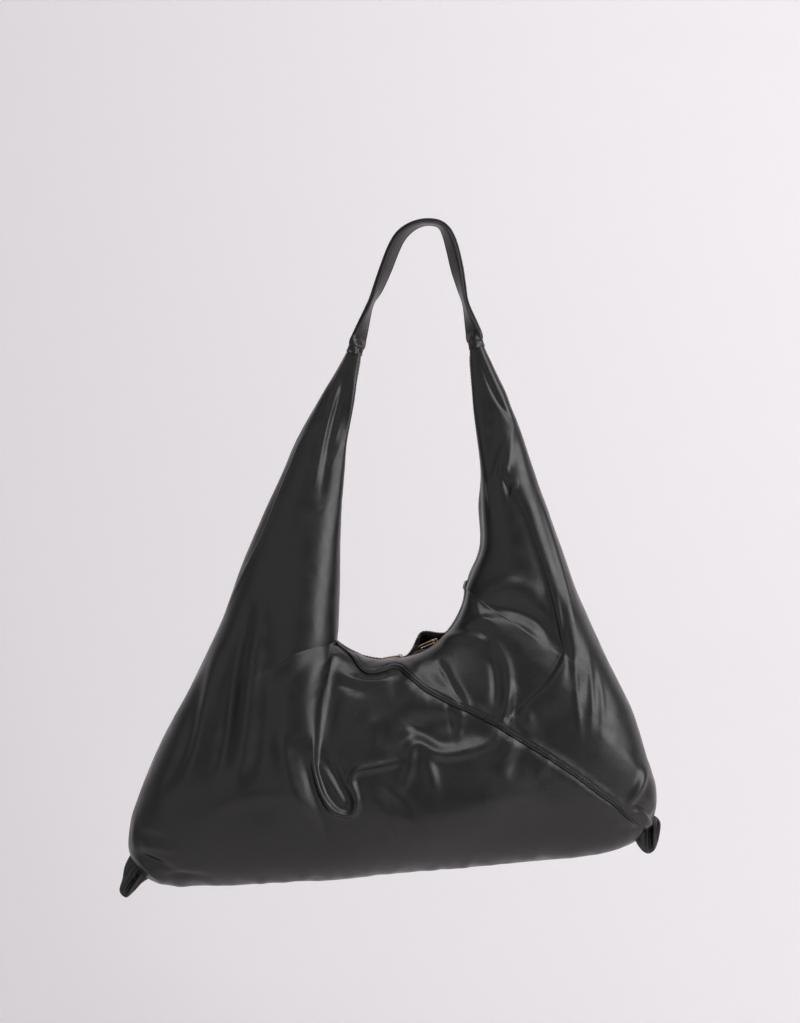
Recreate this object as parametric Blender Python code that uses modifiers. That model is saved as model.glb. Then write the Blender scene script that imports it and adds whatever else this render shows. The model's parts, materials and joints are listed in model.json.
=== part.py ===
# Slouchy leather shoulder bag: a soft body that rises into two arms, a short strap between the
# arms, and a curved zip with two sliders along the mouth.
# Metres, +Z up. X runs across the bag, Y from front (-) to back (+).
# The origin is the point the bag hangs from: the underside of the strap at its highest point.

import math

import bmesh
import bpy
from mathutils import Matrix, Vector
from mathutils.bvhtree import BVHTree

COLLECTION = "slouchy_shoulder_bag"
FRONT = -1
BACK = 1
ALONG_Y = Vector((0, 1, 0))

# Sheet goods and clearances
LEATHER = 0.0014
LINING = 0.0006
FIT_GAP = 0.0003
LINING_GAP = 0.0004
EAR_GAP = 0.00045
MERGE_DISTANCE = 0.00001

# Mouth: an arc in the XZ plane, from the left arm under the opening to the right arm
MOUTH_RADIUS = 0.080
MOUTH_CENTRE = (-0.044, -0.355)
MOUTH_FROM = math.radians(227)
MOUTH_TO = math.radians(356)
MOUTH_STEPS = 30
MOUTH_HALF_WIDTH = 0.007
MOUTH_END_STEPS = 3
OPEN_FROM_STEP = 13
OPEN_TO_STEP = 18
OPEN_SPREAD_FRONT = 0.005
OPEN_SPREAD_BACK = 0.012
OPEN_RISE_BACK = 0.012

# Arm tips, where the strap is sewn on: centre, lean of the arm's axis from upright
LEFT_TIP = (-0.0755, -0.125)
LEFT_TIP_LEAN = math.radians(17.5)
RIGHT_TIP = (0.0448, -0.119)
RIGHT_TIP_LEAN = math.radians(-12.7)
TIP_HALF_WIDTH = 0.0065
TIP_HALF_DEPTH = 0.0095

# Arms between tip and mouth: inner edge, outer edge, half depth
LEFT_ARM = (
    ((-0.077, -0.175), (-0.112, -0.178), 0.013),
    ((-0.084, -0.245), (-0.150, -0.250), 0.024),
    ((-0.088, -0.300), (-0.176, -0.310), 0.032),
    ((-0.095, -0.374), (-0.210, -0.400), 0.042),
)
RIGHT_ARM = (
    ((0.055, -0.323), (0.150, -0.380), 0.040),
    ((0.054, -0.280), (0.128, -0.325), 0.033),
    ((0.050, -0.243), (0.108, -0.265), 0.026),
    ((0.044, -0.195), (0.086, -0.200), 0.016),
)
ARM_STEPS = 10

# Lower outline, from the left arm round both bottom corners to the right arm
LOWER_OUTLINE = (
    (-0.250, -0.478),
    (-0.288, -0.560),
    (-0.303, -0.626),
    (-0.266, -0.659),
    (-0.150, -0.657),
    (-0.037, -0.648),
    (0.060, -0.640),
    (0.150, -0.632),
    (0.202, -0.618),
    (0.223, -0.594),
    (0.216, -0.535),
    (0.184, -0.450),
)
BELLY_HALF_DEPTHS = (0.050, 0.060, 0.068, 0.068, 0.060, 0.046)
BELLY_SAG = 0.25
RIM_STRIP = 0.006
EDGE_STRIP = 0.002
SHELL_ROWS = 9

# Diagonal seams, one on each face, each with a piped cord between its two panels
FRONT_SEAM = (
    (-0.080, -0.396),
    (-0.098, -0.405),
    (-0.104, -0.420),
    (-0.092, -0.434),
    (-0.070, -0.446),
    (-0.040, -0.446),
    (-0.009, -0.461),
    (0.042, -0.489),
    (0.103, -0.524),
    (0.169, -0.570),
    (0.205, -0.598),
    (0.250, -0.632),
)
BACK_SEAM = (
    (0.020, -0.346),
    (0.041, -0.352),
    (0.050, -0.372),
    (0.038, -0.410),
    (0.010, -0.450),
    (-0.040, -0.479),
    (-0.110, -0.515),
    (-0.190, -0.565),
    (-0.262, -0.612),
    (-0.296, -0.636),
    (-0.335, -0.664),
)
SEAM_STEPS = 60
TUBE_RESOLUTION = 1
PIPING_RADIUS = 0.0015
PIPING_PROUD = 0.0008
PIPING_END_DEPTH = 0.032
PIPING_SAMPLES = 10

# Zip
TAPE_THICKNESS = 0.0007
TAPE_GAP = 0.0008
TAPE_TUCK = 0.0022
TOOTH_THICKNESS = 0.0016
TOOTH_TIP = 0.0009
TOOTH_ROOT = 0.0019
TOOTH_RAIL = 0.0028
TEETH_PER_STEP = 2
CHAIN_MARGIN = 0.75
TAPE_MARGIN = 0.2
STOP_LENGTH = 0.0022

# Slider and pull
SLIDER_LENGTH = 0.0095
SLIDER_HALF_WIDTH = 0.0042
SLIDER_CLEARANCE = 0.0004
PLATE_THICKNESS = 0.0014
NECK_HALF_WIDTH = 0.0005
NECK_LENGTH = 0.0034
BAIL_LENGTH = 0.0060
BAIL_HALF_WIDTH = 0.0011
BAIL_HEIGHT = 0.0036
BAIL_HOLE_RADIUS = 0.00115
BAIL_HOLE_HEIGHT = 0.0017
PULL_LENGTH = 0.019
PULL_HALF_WIDTH = 0.0028
PULL_WIRE_RADIUS = 0.0007
PULL_POINTS = 28
LEFT_PULL_LIFT = math.radians(0)
RIGHT_PULL_LIFT = math.radians(14)

# Strap: two glued layers. Points are centre x, centre z and twist of the flat side in degrees
STRAP_WIDTH = 0.020
STRAP_LAYER = 0.0018
STRAP_PATH = (
    (-0.061, -0.081, 8),
    (-0.053, -0.064, 20),
    (-0.045, -0.044, 28),
    (-0.038, -0.026, 28),
    (-0.031, -0.013, 24),
    (-0.022, -0.0045, 16),
    (-0.011, 0.0008, 8),
    (0.000, 0.00195, 5),
    (0.0095, -0.0008, 8),
    (0.016, -0.009, 20),
    (0.021, -0.023, 28),
    (0.026, -0.044, 28),
    (0.030, -0.061, 18),
    (0.035, -0.081, 8),
)
STRAP_END_TWIST = 38
STRAP_STEPS = 30
BEND_STEPS = 4
BEND_TOP = -0.084
COLLAR_HEIGHT = 0.012
COLLAR_STEPS = 4
COLLAR_BULGE = 0.0012
COLLAR_SQUARENESS = 4

# Corner ears: the pinched leather ends that stick out past the two bottom corners
EAR_HALF_THICKNESS = 0.0045
EAR_BEVEL = 0.0016
LEFT_EAR = (
    (-0.300, -0.626),
    (-0.308, -0.640),
    (-0.309, -0.655),
    (-0.312, -0.668),
    (-0.304, -0.674),
    (-0.297, -0.668),
    (-0.287, -0.658),
    (-0.276, -0.650),
)
RIGHT_EAR = (
    (0.196, -0.606),
    (0.204, -0.620),
    (0.211, -0.627),
    (0.218, -0.629),
    (0.225, -0.624),
    (0.229, -0.610),
    (0.229, -0.596),
    (0.218, -0.588),
)

# Reach of the cutting prisms past the bag
CUT_SIDE = 0.36
CUT_TOP = 0.03
CUT_BOTTOM = -0.72
CUT_ARCH_X = -0.015
CUT_ARCH_Z = -0.30


def clear_scene():
    for old in list(bpy.data.objects):
        bpy.data.objects.remove(old, do_unlink=True)


def new_collection(name, hidden=False):
    made = bpy.data.collections.new(name)
    bpy.context.scene.collection.children.link(made)
    made.hide_render = hidden
    return made


def material(name, colour, roughness, metallic=0.0):
    made = bpy.data.materials.new(name)
    made.use_nodes = True
    shader = made.node_tree.nodes["Principled BSDF"]
    shader.inputs["Base Color"].default_value = (*colour, 1)
    shader.inputs["Roughness"].default_value = roughness
    shader.inputs["Metallic"].default_value = metallic
    made.diffuse_color = (*colour, 1)
    return made


# Paths

def catmull(points, place):
    # Point on the smooth curve through the points, at a place from 0 to the last index
    last = len(points) - 1
    index = min(int(place), last - 1)
    t = place - index
    before = points[max(index - 1, 0)]
    start = points[index]
    end = points[index + 1]
    after = points[min(index + 2, last)]
    return tuple(
        0.5 * (2 * b + (c - a) * t + (2 * a - 5 * b + 4 * c - d) * t ** 2 + (3 * b - a - 3 * c + d) * t ** 3)
        for a, b, c, d in zip(before, start, end, after)
    )


def even_points(points, count, samples=400):
    # Points spaced evenly along the smooth curve through the given ones
    fine = [catmull(points, (len(points) - 1) * i / samples) for i in range(samples + 1)]
    lengths = [0]
    for a, b in zip(fine, fine[1:]):
        lengths.append(lengths[-1] + math.dist(a[:2], b[:2]))
    spaced = []
    index = 0
    for step in range(count + 1):
        target = lengths[-1] * step / count
        while index < samples - 1 and lengths[index + 1] < target:
            index += 1
        share = (target - lengths[index]) / (lengths[index + 1] - lengths[index])
        spaced.append(tuple(a + (b - a) * share for a, b in zip(fine[index], fine[index + 1])))
    return spaced


def offset_path(points, distance):
    # The path moved sideways by a distance, to its left as it runs
    moved = []
    for index, point in enumerate(points):
        a = points[max(index - 1, 0)]
        b = points[min(index + 1, len(points) - 1)]
        length = math.dist(a, b)
        moved.append((point[0] - (b[1] - a[1]) / length * distance, point[1] + (b[0] - a[0]) / length * distance))
    return moved


def smooth(share):
    share = min(max(share, 0), 1)
    return share * share * (3 - 2 * share)


# Mouth

def mouth_angle(step):
    return MOUTH_FROM + (MOUTH_TO - MOUTH_FROM) * step / MOUTH_STEPS


def mouth_point(angle, radius):
    return Vector((MOUTH_CENTRE[0] + radius * math.cos(angle), 0, MOUTH_CENTRE[1] + radius * math.sin(angle)))


def open_share(step):
    # How far the two sides of the zip stand apart: none outside the stretch between the sliders
    share = (step - OPEN_FROM_STEP) / (OPEN_TO_STEP - OPEN_FROM_STEP)
    return math.sin(math.pi * share) ** 2 if 0 < share < 1 else 0


def mouth_rise(side, step):
    return OPEN_RISE_BACK * open_share(step) if side == BACK else 0


def mouth_spread(side, step):
    return (OPEN_SPREAD_BACK if side == BACK else OPEN_SPREAD_FRONT) * open_share(step)


def rim_half_gap(step):
    ends = min(smooth(step / MOUTH_END_STEPS), smooth((MOUTH_STEPS - step) / MOUTH_END_STEPS))
    return FIT_GAP / 2 + (MOUTH_HALF_WIDTH - FIT_GAP / 2) * ends


def rim_corner(side, step):
    return mouth_point(mouth_angle(step), MOUTH_RADIUS - mouth_rise(side, step))


def under_rim(side, step, drop):
    # The rim's corner at a step, moved square to the rim into the bag, with mitred corners
    here = rim_corner(side, step)
    normals = []
    for other, sign in ((step - 1, -1), (step + 1, 1)):
        if 0 <= other <= MOUTH_STEPS:
            along = (rim_corner(side, other) - here).normalized() * sign
            normals.append(along.cross(ALONG_Y))
    square = sum(normals, Vector()).normalized()
    return here - square * drop / square.dot(normals[0])


def on_zip(side, step, y, drop):
    # A point carried by one side of the zip, straight between the mouth's steps like the leather rim
    low = min(int(step), MOUTH_STEPS - 1)
    ends = []
    for whole in (low, low + 1):
        point = under_rim(side, whole, drop)
        point.y = side * (y(whole) + mouth_spread(side, whole))
        ends.append(point)
    return ends[0].lerp(ends[1], step - low)


# Body sections: inner edge, outer edge and half depth of each one, from arm tip to arm tip

def tip_frame(tip, lean):
    up = Vector((math.sin(lean), 0, math.cos(lean)))
    across = up.cross(ALONG_Y)
    if across.x * (MOUTH_CENTRE[0] - tip[0]) < 0:
        across = -across
    return Vector((tip[0], 0, tip[1])), up, across


def tip_section(tip, lean):
    centre, _, across = tip_frame(tip, lean)
    inner = centre + across * TIP_HALF_WIDTH
    outer = centre - across * TIP_HALF_WIDTH
    return ((inner.x, inner.z), (outer.x, outer.z), TIP_HALF_DEPTH)


def mouth_section(angle, outer, depth):
    point = mouth_point(angle, MOUTH_RADIUS)
    return ((point.x, point.z), outer, depth)


def arm_sections(keys):
    flat = [(*inner, *outer, depth) for inner, outer, depth in keys]
    values = [catmull(flat, (len(flat) - 1) * step / ARM_STEPS) for step in range(ARM_STEPS + 1)]
    return [(value[0:2], value[2:4], value[4]) for value in values]


def belly_sections():
    lower = even_points(LOWER_OUTLINE, MOUTH_STEPS)
    depths = [(depth,) for depth in BELLY_HALF_DEPTHS]
    sections = []
    for step in range(1, MOUTH_STEPS):
        depth = catmull(depths, (len(depths) - 1) * step / MOUTH_STEPS)[0]
        sections.append(mouth_section(mouth_angle(step), lower[step], depth))
    return sections


def body_sections():
    left_end = mouth_section(MOUTH_FROM, LOWER_OUTLINE[0], BELLY_HALF_DEPTHS[0])
    right_end = mouth_section(MOUTH_TO, LOWER_OUTLINE[-1], BELLY_HALF_DEPTHS[-1])
    left = arm_sections([tip_section(LEFT_TIP, LEFT_TIP_LEAN), *LEFT_ARM, left_end])
    right = arm_sections([right_end, *RIGHT_ARM, tip_section(RIGHT_TIP, RIGHT_TIP_LEAN)])
    return left + belly_sections() + right


SECTIONS = body_sections()
SHELL_COLUMNS = len(SECTIONS) - 1


def shell_point(side, column, row):
    # Rows run from the rim to the outer edge. The first and last are strips square to the section's
    # plane, so that front and back meet face to face. The rows between them follow half an oval.
    inner, outer, depth = SECTIONS[column]
    step = min(max(column - ARM_STEPS, 0), MOUTH_STEPS)
    turn = math.pi * min(max((row - 1) / (SHELL_ROWS - 2), 0), 1)
    t = (1 - math.cos(turn)) / 2
    along = t + BELLY_SAG * t * (1 - t)
    start = Vector((inner[0], 0, inner[1]))
    point = start.lerp(Vector((outer[0], 0, outer[1])), along)
    fade = (1 - t) ** 4
    angle = mouth_angle(step)
    point -= Vector((math.cos(angle), 0, math.sin(angle))) * mouth_rise(side, step) * fade
    gap = FIT_GAP / 2 + (rim_half_gap(step) - FIT_GAP / 2) * (1 - t)
    strip = RIM_STRIP * (1 - t) + EDGE_STRIP * t
    swell = 0 if row in (0, SHELL_ROWS) else strip + (depth - strip) * math.sin(turn)
    point.y = side * (gap + mouth_spread(side, step) * fade + swell)
    return point


# Mesh helpers

def grid_mesh(columns, rows, place):
    # A grid of quads whose corners go where place(column, row) says
    mesh = bmesh.new()
    bmesh.ops.create_grid(mesh, x_segments=columns, y_segments=rows, size=1)
    for corner in mesh.verts:
        column = round((corner.co.x + 1) / 2 * columns)
        row = round((corner.co.y + 1) / 2 * rows)
        corner.co = place(column, row)
    mesh.normal_update()
    return mesh


def finish_object(name, mesh, collection, look=None):
    data = bpy.data.meshes.new(name)
    mesh.to_mesh(data)
    mesh.free()
    made = bpy.data.objects.new(name, data)
    collection.objects.link(made)
    if look:
        data.materials.append(look)
    return made


def solidify(target, thickness, offset):
    modifier = target.modifiers.new("Thickness", "SOLIDIFY")
    modifier.thickness = thickness
    modifier.offset = offset
    modifier.use_even_offset = True
    return modifier


def boolean(target, cutter, operation="DIFFERENCE"):
    modifier = target.modifiers.new(cutter.name, "BOOLEAN")
    modifier.operation = operation
    modifier.solver = "EXACT"
    modifier.object = cutter


def close_tube(mesh):
    # Joins the first and last rows of a rolled-up grid and caps its two ends
    bmesh.ops.remove_doubles(mesh, verts=mesh.verts, dist=MERGE_DISTANCE)
    ends = [edge for edge in mesh.edges if edge.is_boundary]
    bmesh.ops.holes_fill(mesh, edges=ends, sides=0)
    bmesh.ops.recalc_face_normals(mesh, faces=mesh.faces)


def curve_to_mesh(source):
    evaluated = source.evaluated_get(bpy.context.evaluated_depsgraph_get())
    data = bpy.data.meshes.new_from_object(evaluated)
    mesh = bmesh.new()
    mesh.from_mesh(data)
    bmesh.ops.remove_doubles(mesh, verts=mesh.verts, dist=MERGE_DISTANCE)
    mesh.to_mesh(data)
    mesh.free()
    made = bpy.data.objects.new(source.name, data)
    made.matrix_world = source.matrix_world
    for holder in source.users_collection:
        holder.objects.link(made)
    name = source.name
    bpy.data.objects.remove(source, do_unlink=True)
    made.name = name
    return made


def prism(name, outline, half_depth, collection):
    # A flat XZ outline pulled out along Y, to both sides of Y = 0
    data = bpy.data.curves.new(name, "CURVE")
    data.dimensions = "2D"
    data.fill_mode = "BOTH"
    data.extrude = half_depth
    spline = data.splines.new("POLY")
    spline.points.add(len(outline) - 1)
    for point, (x, z) in zip(spline.points, outline):
        point.co = (x, z, 0, 1)
    spline.use_cyclic_u = True
    made = bpy.data.objects.new(name, data)
    made.rotation_euler = (math.pi / 2, 0, 0)
    collection.objects.link(made)
    bpy.context.view_layer.update()
    return curve_to_mesh(made)


def as_cutter(target):
    target.hide_render = True
    target.display_type = "WIRE"
    return target


def tube(name, points, radius, collection, look, cyclic=False):
    data = bpy.data.curves.new(name, "CURVE")
    data.dimensions = "3D"
    data.bevel_depth = radius
    data.bevel_resolution = TUBE_RESOLUTION
    data.use_fill_caps = True
    spline = data.splines.new("POLY")
    spline.points.add(len(points) - 1)
    for point, place in zip(spline.points, points):
        point.co = (*place, 1)
    spline.use_cyclic_u = cyclic
    data.materials.append(look)
    made = bpy.data.objects.new(name, data)
    collection.objects.link(made)
    return made


# Panels, linings and piping

def shell_grid(side):
    # One face of the body, in flat triangles, so that a cut through it stays flat as well
    mesh = grid_mesh(SHELL_COLUMNS, SHELL_ROWS, lambda column, row: shell_point(side, column, row))
    if side == FRONT:
        bmesh.ops.reverse_faces(mesh, faces=mesh.faces)
    bmesh.ops.triangulate(mesh, faces=mesh.faces)
    mesh.normal_update()
    return mesh


def cut_depth():
    # Clear of the fullest part of the body on both faces
    return 2 * max(BELLY_HALF_DEPTHS)


def seam_cutters(name, keys, collection):
    line = even_points(keys, SEAM_STEPS)
    half_slot = PIPING_RADIUS + FIT_GAP
    band = offset_path(line, half_slot) + offset_path(line, -half_slot)[::-1]
    arch = [(CUT_ARCH_X, CUT_TOP), (CUT_ARCH_X, CUT_ARCH_Z)]
    low_side = math.copysign(CUT_SIDE, line[-1][0])
    ends_low = [(low_side, line[-1][1]), (low_side, CUT_BOTTOM)]
    far = -low_side
    below = line + ends_low + [(far, CUT_BOTTOM), (far, CUT_TOP)] + arch
    above = line + [(low_side, line[-1][1]), (low_side, CUT_TOP)] + arch
    slot = as_cutter(prism(name + "_slot", band, cut_depth(), collection))
    lower = as_cutter(prism(name + "_lower", below, cut_depth(), collection))
    upper = as_cutter(prism(name + "_upper", above, cut_depth(), collection))
    return slot, lower, upper


def panel(name, side, slot, other_side, collection, look):
    made = finish_object(name, shell_grid(side), collection, look)
    solidify(made, LEATHER, -1)
    boolean(made, slot)
    boolean(made, other_side)
    return made


def lining(name, side, collection, look):
    mesh = shell_grid(side)
    inward = [-corner.normal * corner.calc_shell_factor() for corner in mesh.verts]
    for corner, direction in zip(mesh.verts, inward):
        corner.co += direction * (LEATHER + LINING_GAP)
    mesh.verts.ensure_lookup_table()
    trimmed = []
    reference = grid_mesh(SHELL_COLUMNS, SHELL_ROWS, lambda column, row: Vector((column, row, 0)))
    for corner, marker in zip(mesh.verts, reference.verts):
        column, row = round(marker.co.x), round(marker.co.y)
        if row in (0, SHELL_ROWS) or column in (0, 1, SHELL_COLUMNS - 1, SHELL_COLUMNS):
            trimmed.append(corner)
    reference.free()
    bmesh.ops.delete(mesh, geom=trimmed, context="VERTS")
    made = finish_object(name, mesh, collection, look)
    solidify(made, LINING, -1)
    return made


def piping(name, side, keys, collection, look):
    # The cord stops where the face curls in towards the rim and the outer edge
    surface = shell_grid(side)
    tree = BVHTree.FromBMesh(surface)
    surface.free()
    fine = []
    for x, z in even_points(keys, SEAM_STEPS * PIPING_SAMPLES):
        place, normal, _, _ = tree.ray_cast(Vector((x, side * cut_depth(), z)), Vector((0, -side, 0)))
        if place is not None and abs(place.y) >= PIPING_END_DEPTH:
            fine.append(place + ALONG_Y * side * PIPING_PROUD / abs(normal.y))
    steps = len(fine) // PIPING_SAMPLES
    points = [fine[round((len(fine) - 1) * step / steps)] for step in range(steps + 1)]
    return tube(name, points, PIPING_RADIUS, collection, look)


# Corner ears

def body_envelope(collection):
    around = 2 * SHELL_ROWS

    def place(column, row):
        side, real_row = (FRONT, row) if row <= SHELL_ROWS else (BACK, around - row)
        point = shell_point(side, column, real_row)
        if real_row == SHELL_ROWS or (row in (0, around)):
            point.y = 0
        return point

    mesh = grid_mesh(SHELL_COLUMNS, around, place)
    close_tube(mesh)
    mesh.normal_update()
    for corner in mesh.verts:
        corner.co += corner.normal * EAR_GAP
    return as_cutter(finish_object("body_envelope", mesh, collection))


def ear(name, outline, envelope, collection, look):
    made = prism(name, outline, EAR_HALF_THICKNESS, collection)
    made.data.materials.append(look)
    bevel = made.modifiers.new("Rounded edges", "BEVEL")
    bevel.width = EAR_BEVEL
    bevel.segments = 2
    bevel.limit_method = "ANGLE"
    bevel.angle_limit = math.radians(60)
    boolean(made, envelope)
    return made


# Zip

def zip_level():
    # Distance of the tape's middle below the leather's outer face
    return LEATHER + TAPE_GAP + TAPE_THICKNESS / 2


def zip_tape(name, side, collection, look):
    steps = [TAPE_MARGIN, *range(1, MOUTH_STEPS), MOUTH_STEPS - TAPE_MARGIN]

    def place(column, row):
        def y(step):
            return TOOTH_RAIL + FIT_GAP if row == 0 else max(rim_half_gap(step), TOOTH_RAIL) + TAPE_TUCK
        return on_zip(side, steps[column], y, zip_level())

    made = finish_object(name, grid_mesh(len(steps) - 1, 1, place), collection, look)
    solidify(made, TAPE_THICKNESS, 0)
    return made


def zip_teeth(name, side, collection, look):
    first = CHAIN_MARGIN
    columns = round((MOUTH_STEPS - 2 * CHAIN_MARGIN) * TEETH_PER_STEP) * 2 - 1
    rows = (TOOTH_RAIL, TOOTH_ROOT, TOOTH_TIP)

    def place(column, row):
        step = first + (MOUTH_STEPS - 2 * first) * column / columns
        return on_zip(side, step, lambda _: rows[row], zip_level())

    reference = grid_mesh(columns, 2, lambda column, row: Vector((column, row, 0)))
    mesh = grid_mesh(columns, 2, place)
    gaps = []
    for face, marker in zip(mesh.faces, reference.faces):
        middle = marker.calc_center_median()
        if middle.y > 1 and int(middle.x) % 2:
            gaps.append(face)
    reference.free()
    bmesh.ops.delete(mesh, geom=gaps, context="FACES")
    made = finish_object(name, mesh, collection, look)
    solidify(made, TOOTH_THICKNESS, 0)
    return made


def zip_frame(angle):
    # Axes at a place on the zip: X along it towards the right arm, Y across, Z out of the bag
    out = -Vector((math.cos(angle), 0, math.sin(angle)))
    along = Vector((-math.sin(angle), 0, math.cos(angle)))
    origin = mouth_point(angle, MOUTH_RADIUS + zip_level())
    return Matrix((
        (along.x, 0, out.x, origin.x),
        (along.y, 1, out.y, origin.y),
        (along.z, 0, out.z, origin.z),
        (0, 0, 0, 1),
    ))


def block(name, low, high, frame, collection, look=None):
    mesh = bmesh.new()
    size = [h - l for l, h in zip(low, high)]
    middle = [(h + l) / 2 for l, h in zip(low, high)]
    bmesh.ops.create_cube(mesh, size=1, matrix=Matrix.Translation(middle) @ Matrix.Diagonal((*size, 1)))
    made = finish_object(name, mesh, collection, look)
    made.matrix_world = frame
    return made


def slider_half_angle():
    return SLIDER_LENGTH / 2 / MOUTH_RADIUS


def slider_angle(which):
    if which == "left":
        return mouth_angle(OPEN_FROM_STEP) - slider_half_angle()
    return mouth_angle(OPEN_TO_STEP) + slider_half_angle()


def zip_slider(which, collection, cutters, look):
    # Two plates joined by a neck that runs between the rows, and a bail on top for the pull
    frame = zip_frame(slider_angle(which))
    # The neck stands at the end of the slider that faces the open stretch
    toward_open = 1 if which == "left" else -1
    half = SLIDER_LENGTH / 2
    wide = SLIDER_HALF_WIDTH
    inside = TOOTH_THICKNESS / 2 + SLIDER_CLEARANCE
    top = inside + PLATE_THICKNESS
    name = "zip_slider_" + which
    made = block(name, (-half, -wide, inside), (half, wide, top), frame, collection, look)
    lower = block(name + "_lower", (-half, -wide, -top), (half, wide, -inside), frame, cutters)
    neck_ends = sorted((toward_open * half, toward_open * (half - NECK_LENGTH)))
    neck = block(name + "_neck", (neck_ends[0], -NECK_HALF_WIDTH, -inside - PLATE_THICKNESS / 2),
                 (neck_ends[1], NECK_HALF_WIDTH, inside + PLATE_THICKNESS / 2), frame, cutters)
    bail = block(name + "_bail", (-BAIL_LENGTH / 2, -BAIL_HALF_WIDTH, top - PLATE_THICKNESS / 2),
                 (BAIL_LENGTH / 2, BAIL_HALF_WIDTH, top + BAIL_HEIGHT), frame, cutters)
    for added in (neck, lower, bail):
        boolean(made, as_cutter(added), "UNION")
    mesh = bmesh.new()
    bmesh.ops.create_cone(mesh, cap_ends=True, segments=16, radius1=BAIL_HOLE_RADIUS,
                          radius2=BAIL_HOLE_RADIUS, depth=4 * BAIL_HALF_WIDTH)
    hole = finish_object(name + "_hole", mesh, cutters)
    hole.matrix_world = frame @ Matrix.Translation((0, 0, top + BAIL_HOLE_HEIGHT)) @ Matrix.Rotation(math.pi / 2, 4, "X")
    boolean(made, as_cutter(hole))
    return made


def pull_pivot(which):
    height = TOOTH_THICKNESS / 2 + SLIDER_CLEARANCE + PLATE_THICKNESS + BAIL_HOLE_HEIGHT
    return zip_frame(slider_angle(which)) @ Vector((0, 0, height))


def zip_pull(which, lift, collection, look):
    # A long wire ring through the bail, lying along the zip towards the left arm
    frame = zip_frame(slider_angle(which))
    along = -(frame.to_3x3() @ Vector((1, 0, 0)))
    out = frame.to_3x3() @ Vector((0, 0, 1))
    direction = along * math.cos(lift) + out * math.sin(lift)
    straight = PULL_LENGTH - 2 * PULL_WIRE_RADIUS - 2 * PULL_HALF_WIDTH
    points = []
    for index in range(PULL_POINTS):
        turn = 2 * math.pi * (index + 0.5) / PULL_POINTS
        far = straight if math.cos(turn) < 0 else 0
        reach = far + PULL_HALF_WIDTH * (1 - math.cos(turn))
        points.append(direction * reach + ALONG_Y * PULL_HALF_WIDTH * math.sin(turn))
    made = tube("zip_pull_" + which, points, PULL_WIRE_RADIUS, collection, look, cyclic=True)
    made.location = pull_pivot(which)
    return made


def zip_stop(name, step, toward, collection, look):
    # A clamp across both rows at the end of the zip
    chain_end = mouth_angle(step) + toward * FIT_GAP / MOUTH_RADIUS
    angle = chain_end + toward * STOP_LENGTH / 2 / MOUTH_RADIUS
    half = STOP_LENGTH / 2
    thick = TOOTH_THICKNESS / 2
    return block(name, (-half, -TOOTH_RAIL, -thick), (half, TOOTH_RAIL, thick), zip_frame(angle), collection, look)


# Strap

def strap_ends():
    ends = []
    for tip, lean in ((LEFT_TIP, LEFT_TIP_LEAN), (RIGHT_TIP, RIGHT_TIP_LEAN)):
        centre, up, _ = tip_frame(tip, lean)
        top = centre + up * (COLLAR_HEIGHT + 2 * FIT_GAP)
        ends.append(top)
    return ends


def strap_line(samples=240):
    left, right = strap_ends()
    keys = [(left.x, left.z, STRAP_END_TWIST), *STRAP_PATH, (right.x, right.z, STRAP_END_TWIST)]
    return even_points(keys, samples)


STRAP_LINE = strap_line()


def strap_frame(share):
    place = share * (len(STRAP_LINE) - 1)
    index = min(int(place), len(STRAP_LINE) - 2)
    a, b = STRAP_LINE[index], STRAP_LINE[index + 1]
    here = [p + (q - p) * (place - index) for p, q in zip(a, b)]
    low = STRAP_LINE[max(index - 1, 0)]
    high = STRAP_LINE[min(index + 2, len(STRAP_LINE) - 1)]
    along = Vector((high[0] - low[0], 0, high[1] - low[1])).normalized()
    side = ALONG_Y.cross(along)
    twist = math.radians(here[2])
    width = ALONG_Y * math.cos(twist) + side * math.sin(twist)
    return Vector((here[0], 0, here[1])), width, along.cross(width)


def strap_length():
    return sum(math.dist(a[:2], b[:2]) for a, b in zip(STRAP_LINE, STRAP_LINE[1:]))


def share_at_height(height, from_left):
    order = range(len(STRAP_LINE)) if from_left else range(len(STRAP_LINE) - 1, -1, -1)
    for index in order:
        if STRAP_LINE[index][1] >= height:
            return index / (len(STRAP_LINE) - 1)
    return 0.5


def strap_piece(name, start, end, steps, thickness, offset, collection, look):
    def place(column, row):
        centre, width, out = strap_frame(start + (end - start) * column / steps)
        return centre + width * STRAP_WIDTH * (row / 2 - 0.5) + out * offset

    made = finish_object(name, grid_mesh(steps, 2, place), collection, look)
    solidify(made, thickness, 0)
    return made


def collar(name, column, tip, lean, strap_share, collection, look):
    # The gathered end of an arm, drawn in from the arm's oval to the strap's flat section
    centre, up, _ = tip_frame(tip, lean)
    top_centre, width, out = strap_frame(strap_share)
    half_width = STRAP_WIDTH / 2
    half_thick = STRAP_LAYER + FIT_GAP / 2
    around = 2 * SHELL_ROWS

    def place(level, row):
        share = level / COLLAR_STEPS
        side, real_row = (FRONT, row) if row <= SHELL_ROWS else (BACK, around - row)
        low = shell_point(side, column, real_row)
        if real_row in (0, SHELL_ROWS):
            low.y = 0
        spoke = low - centre
        a = spoke.dot(width)
        b = spoke.dot(out)
        size = (abs(a) / half_width) ** COLLAR_SQUARENESS + (abs(b) / half_thick) ** COLLAR_SQUARENESS
        flat = (width * a + out * b) / size ** (1 / COLLAR_SQUARENESS)
        base = centre + up * FIT_GAP
        top = centre + up * (FIT_GAP + COLLAR_HEIGHT)
        bulge = spoke.normalized() * COLLAR_BULGE * math.sin(math.pi * share)
        return (base + spoke).lerp(top + flat, smooth(share)) + bulge

    mesh = grid_mesh(COLLAR_STEPS, around, place)
    close_tube(mesh)
    return finish_object(name, mesh, collection, look)


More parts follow.
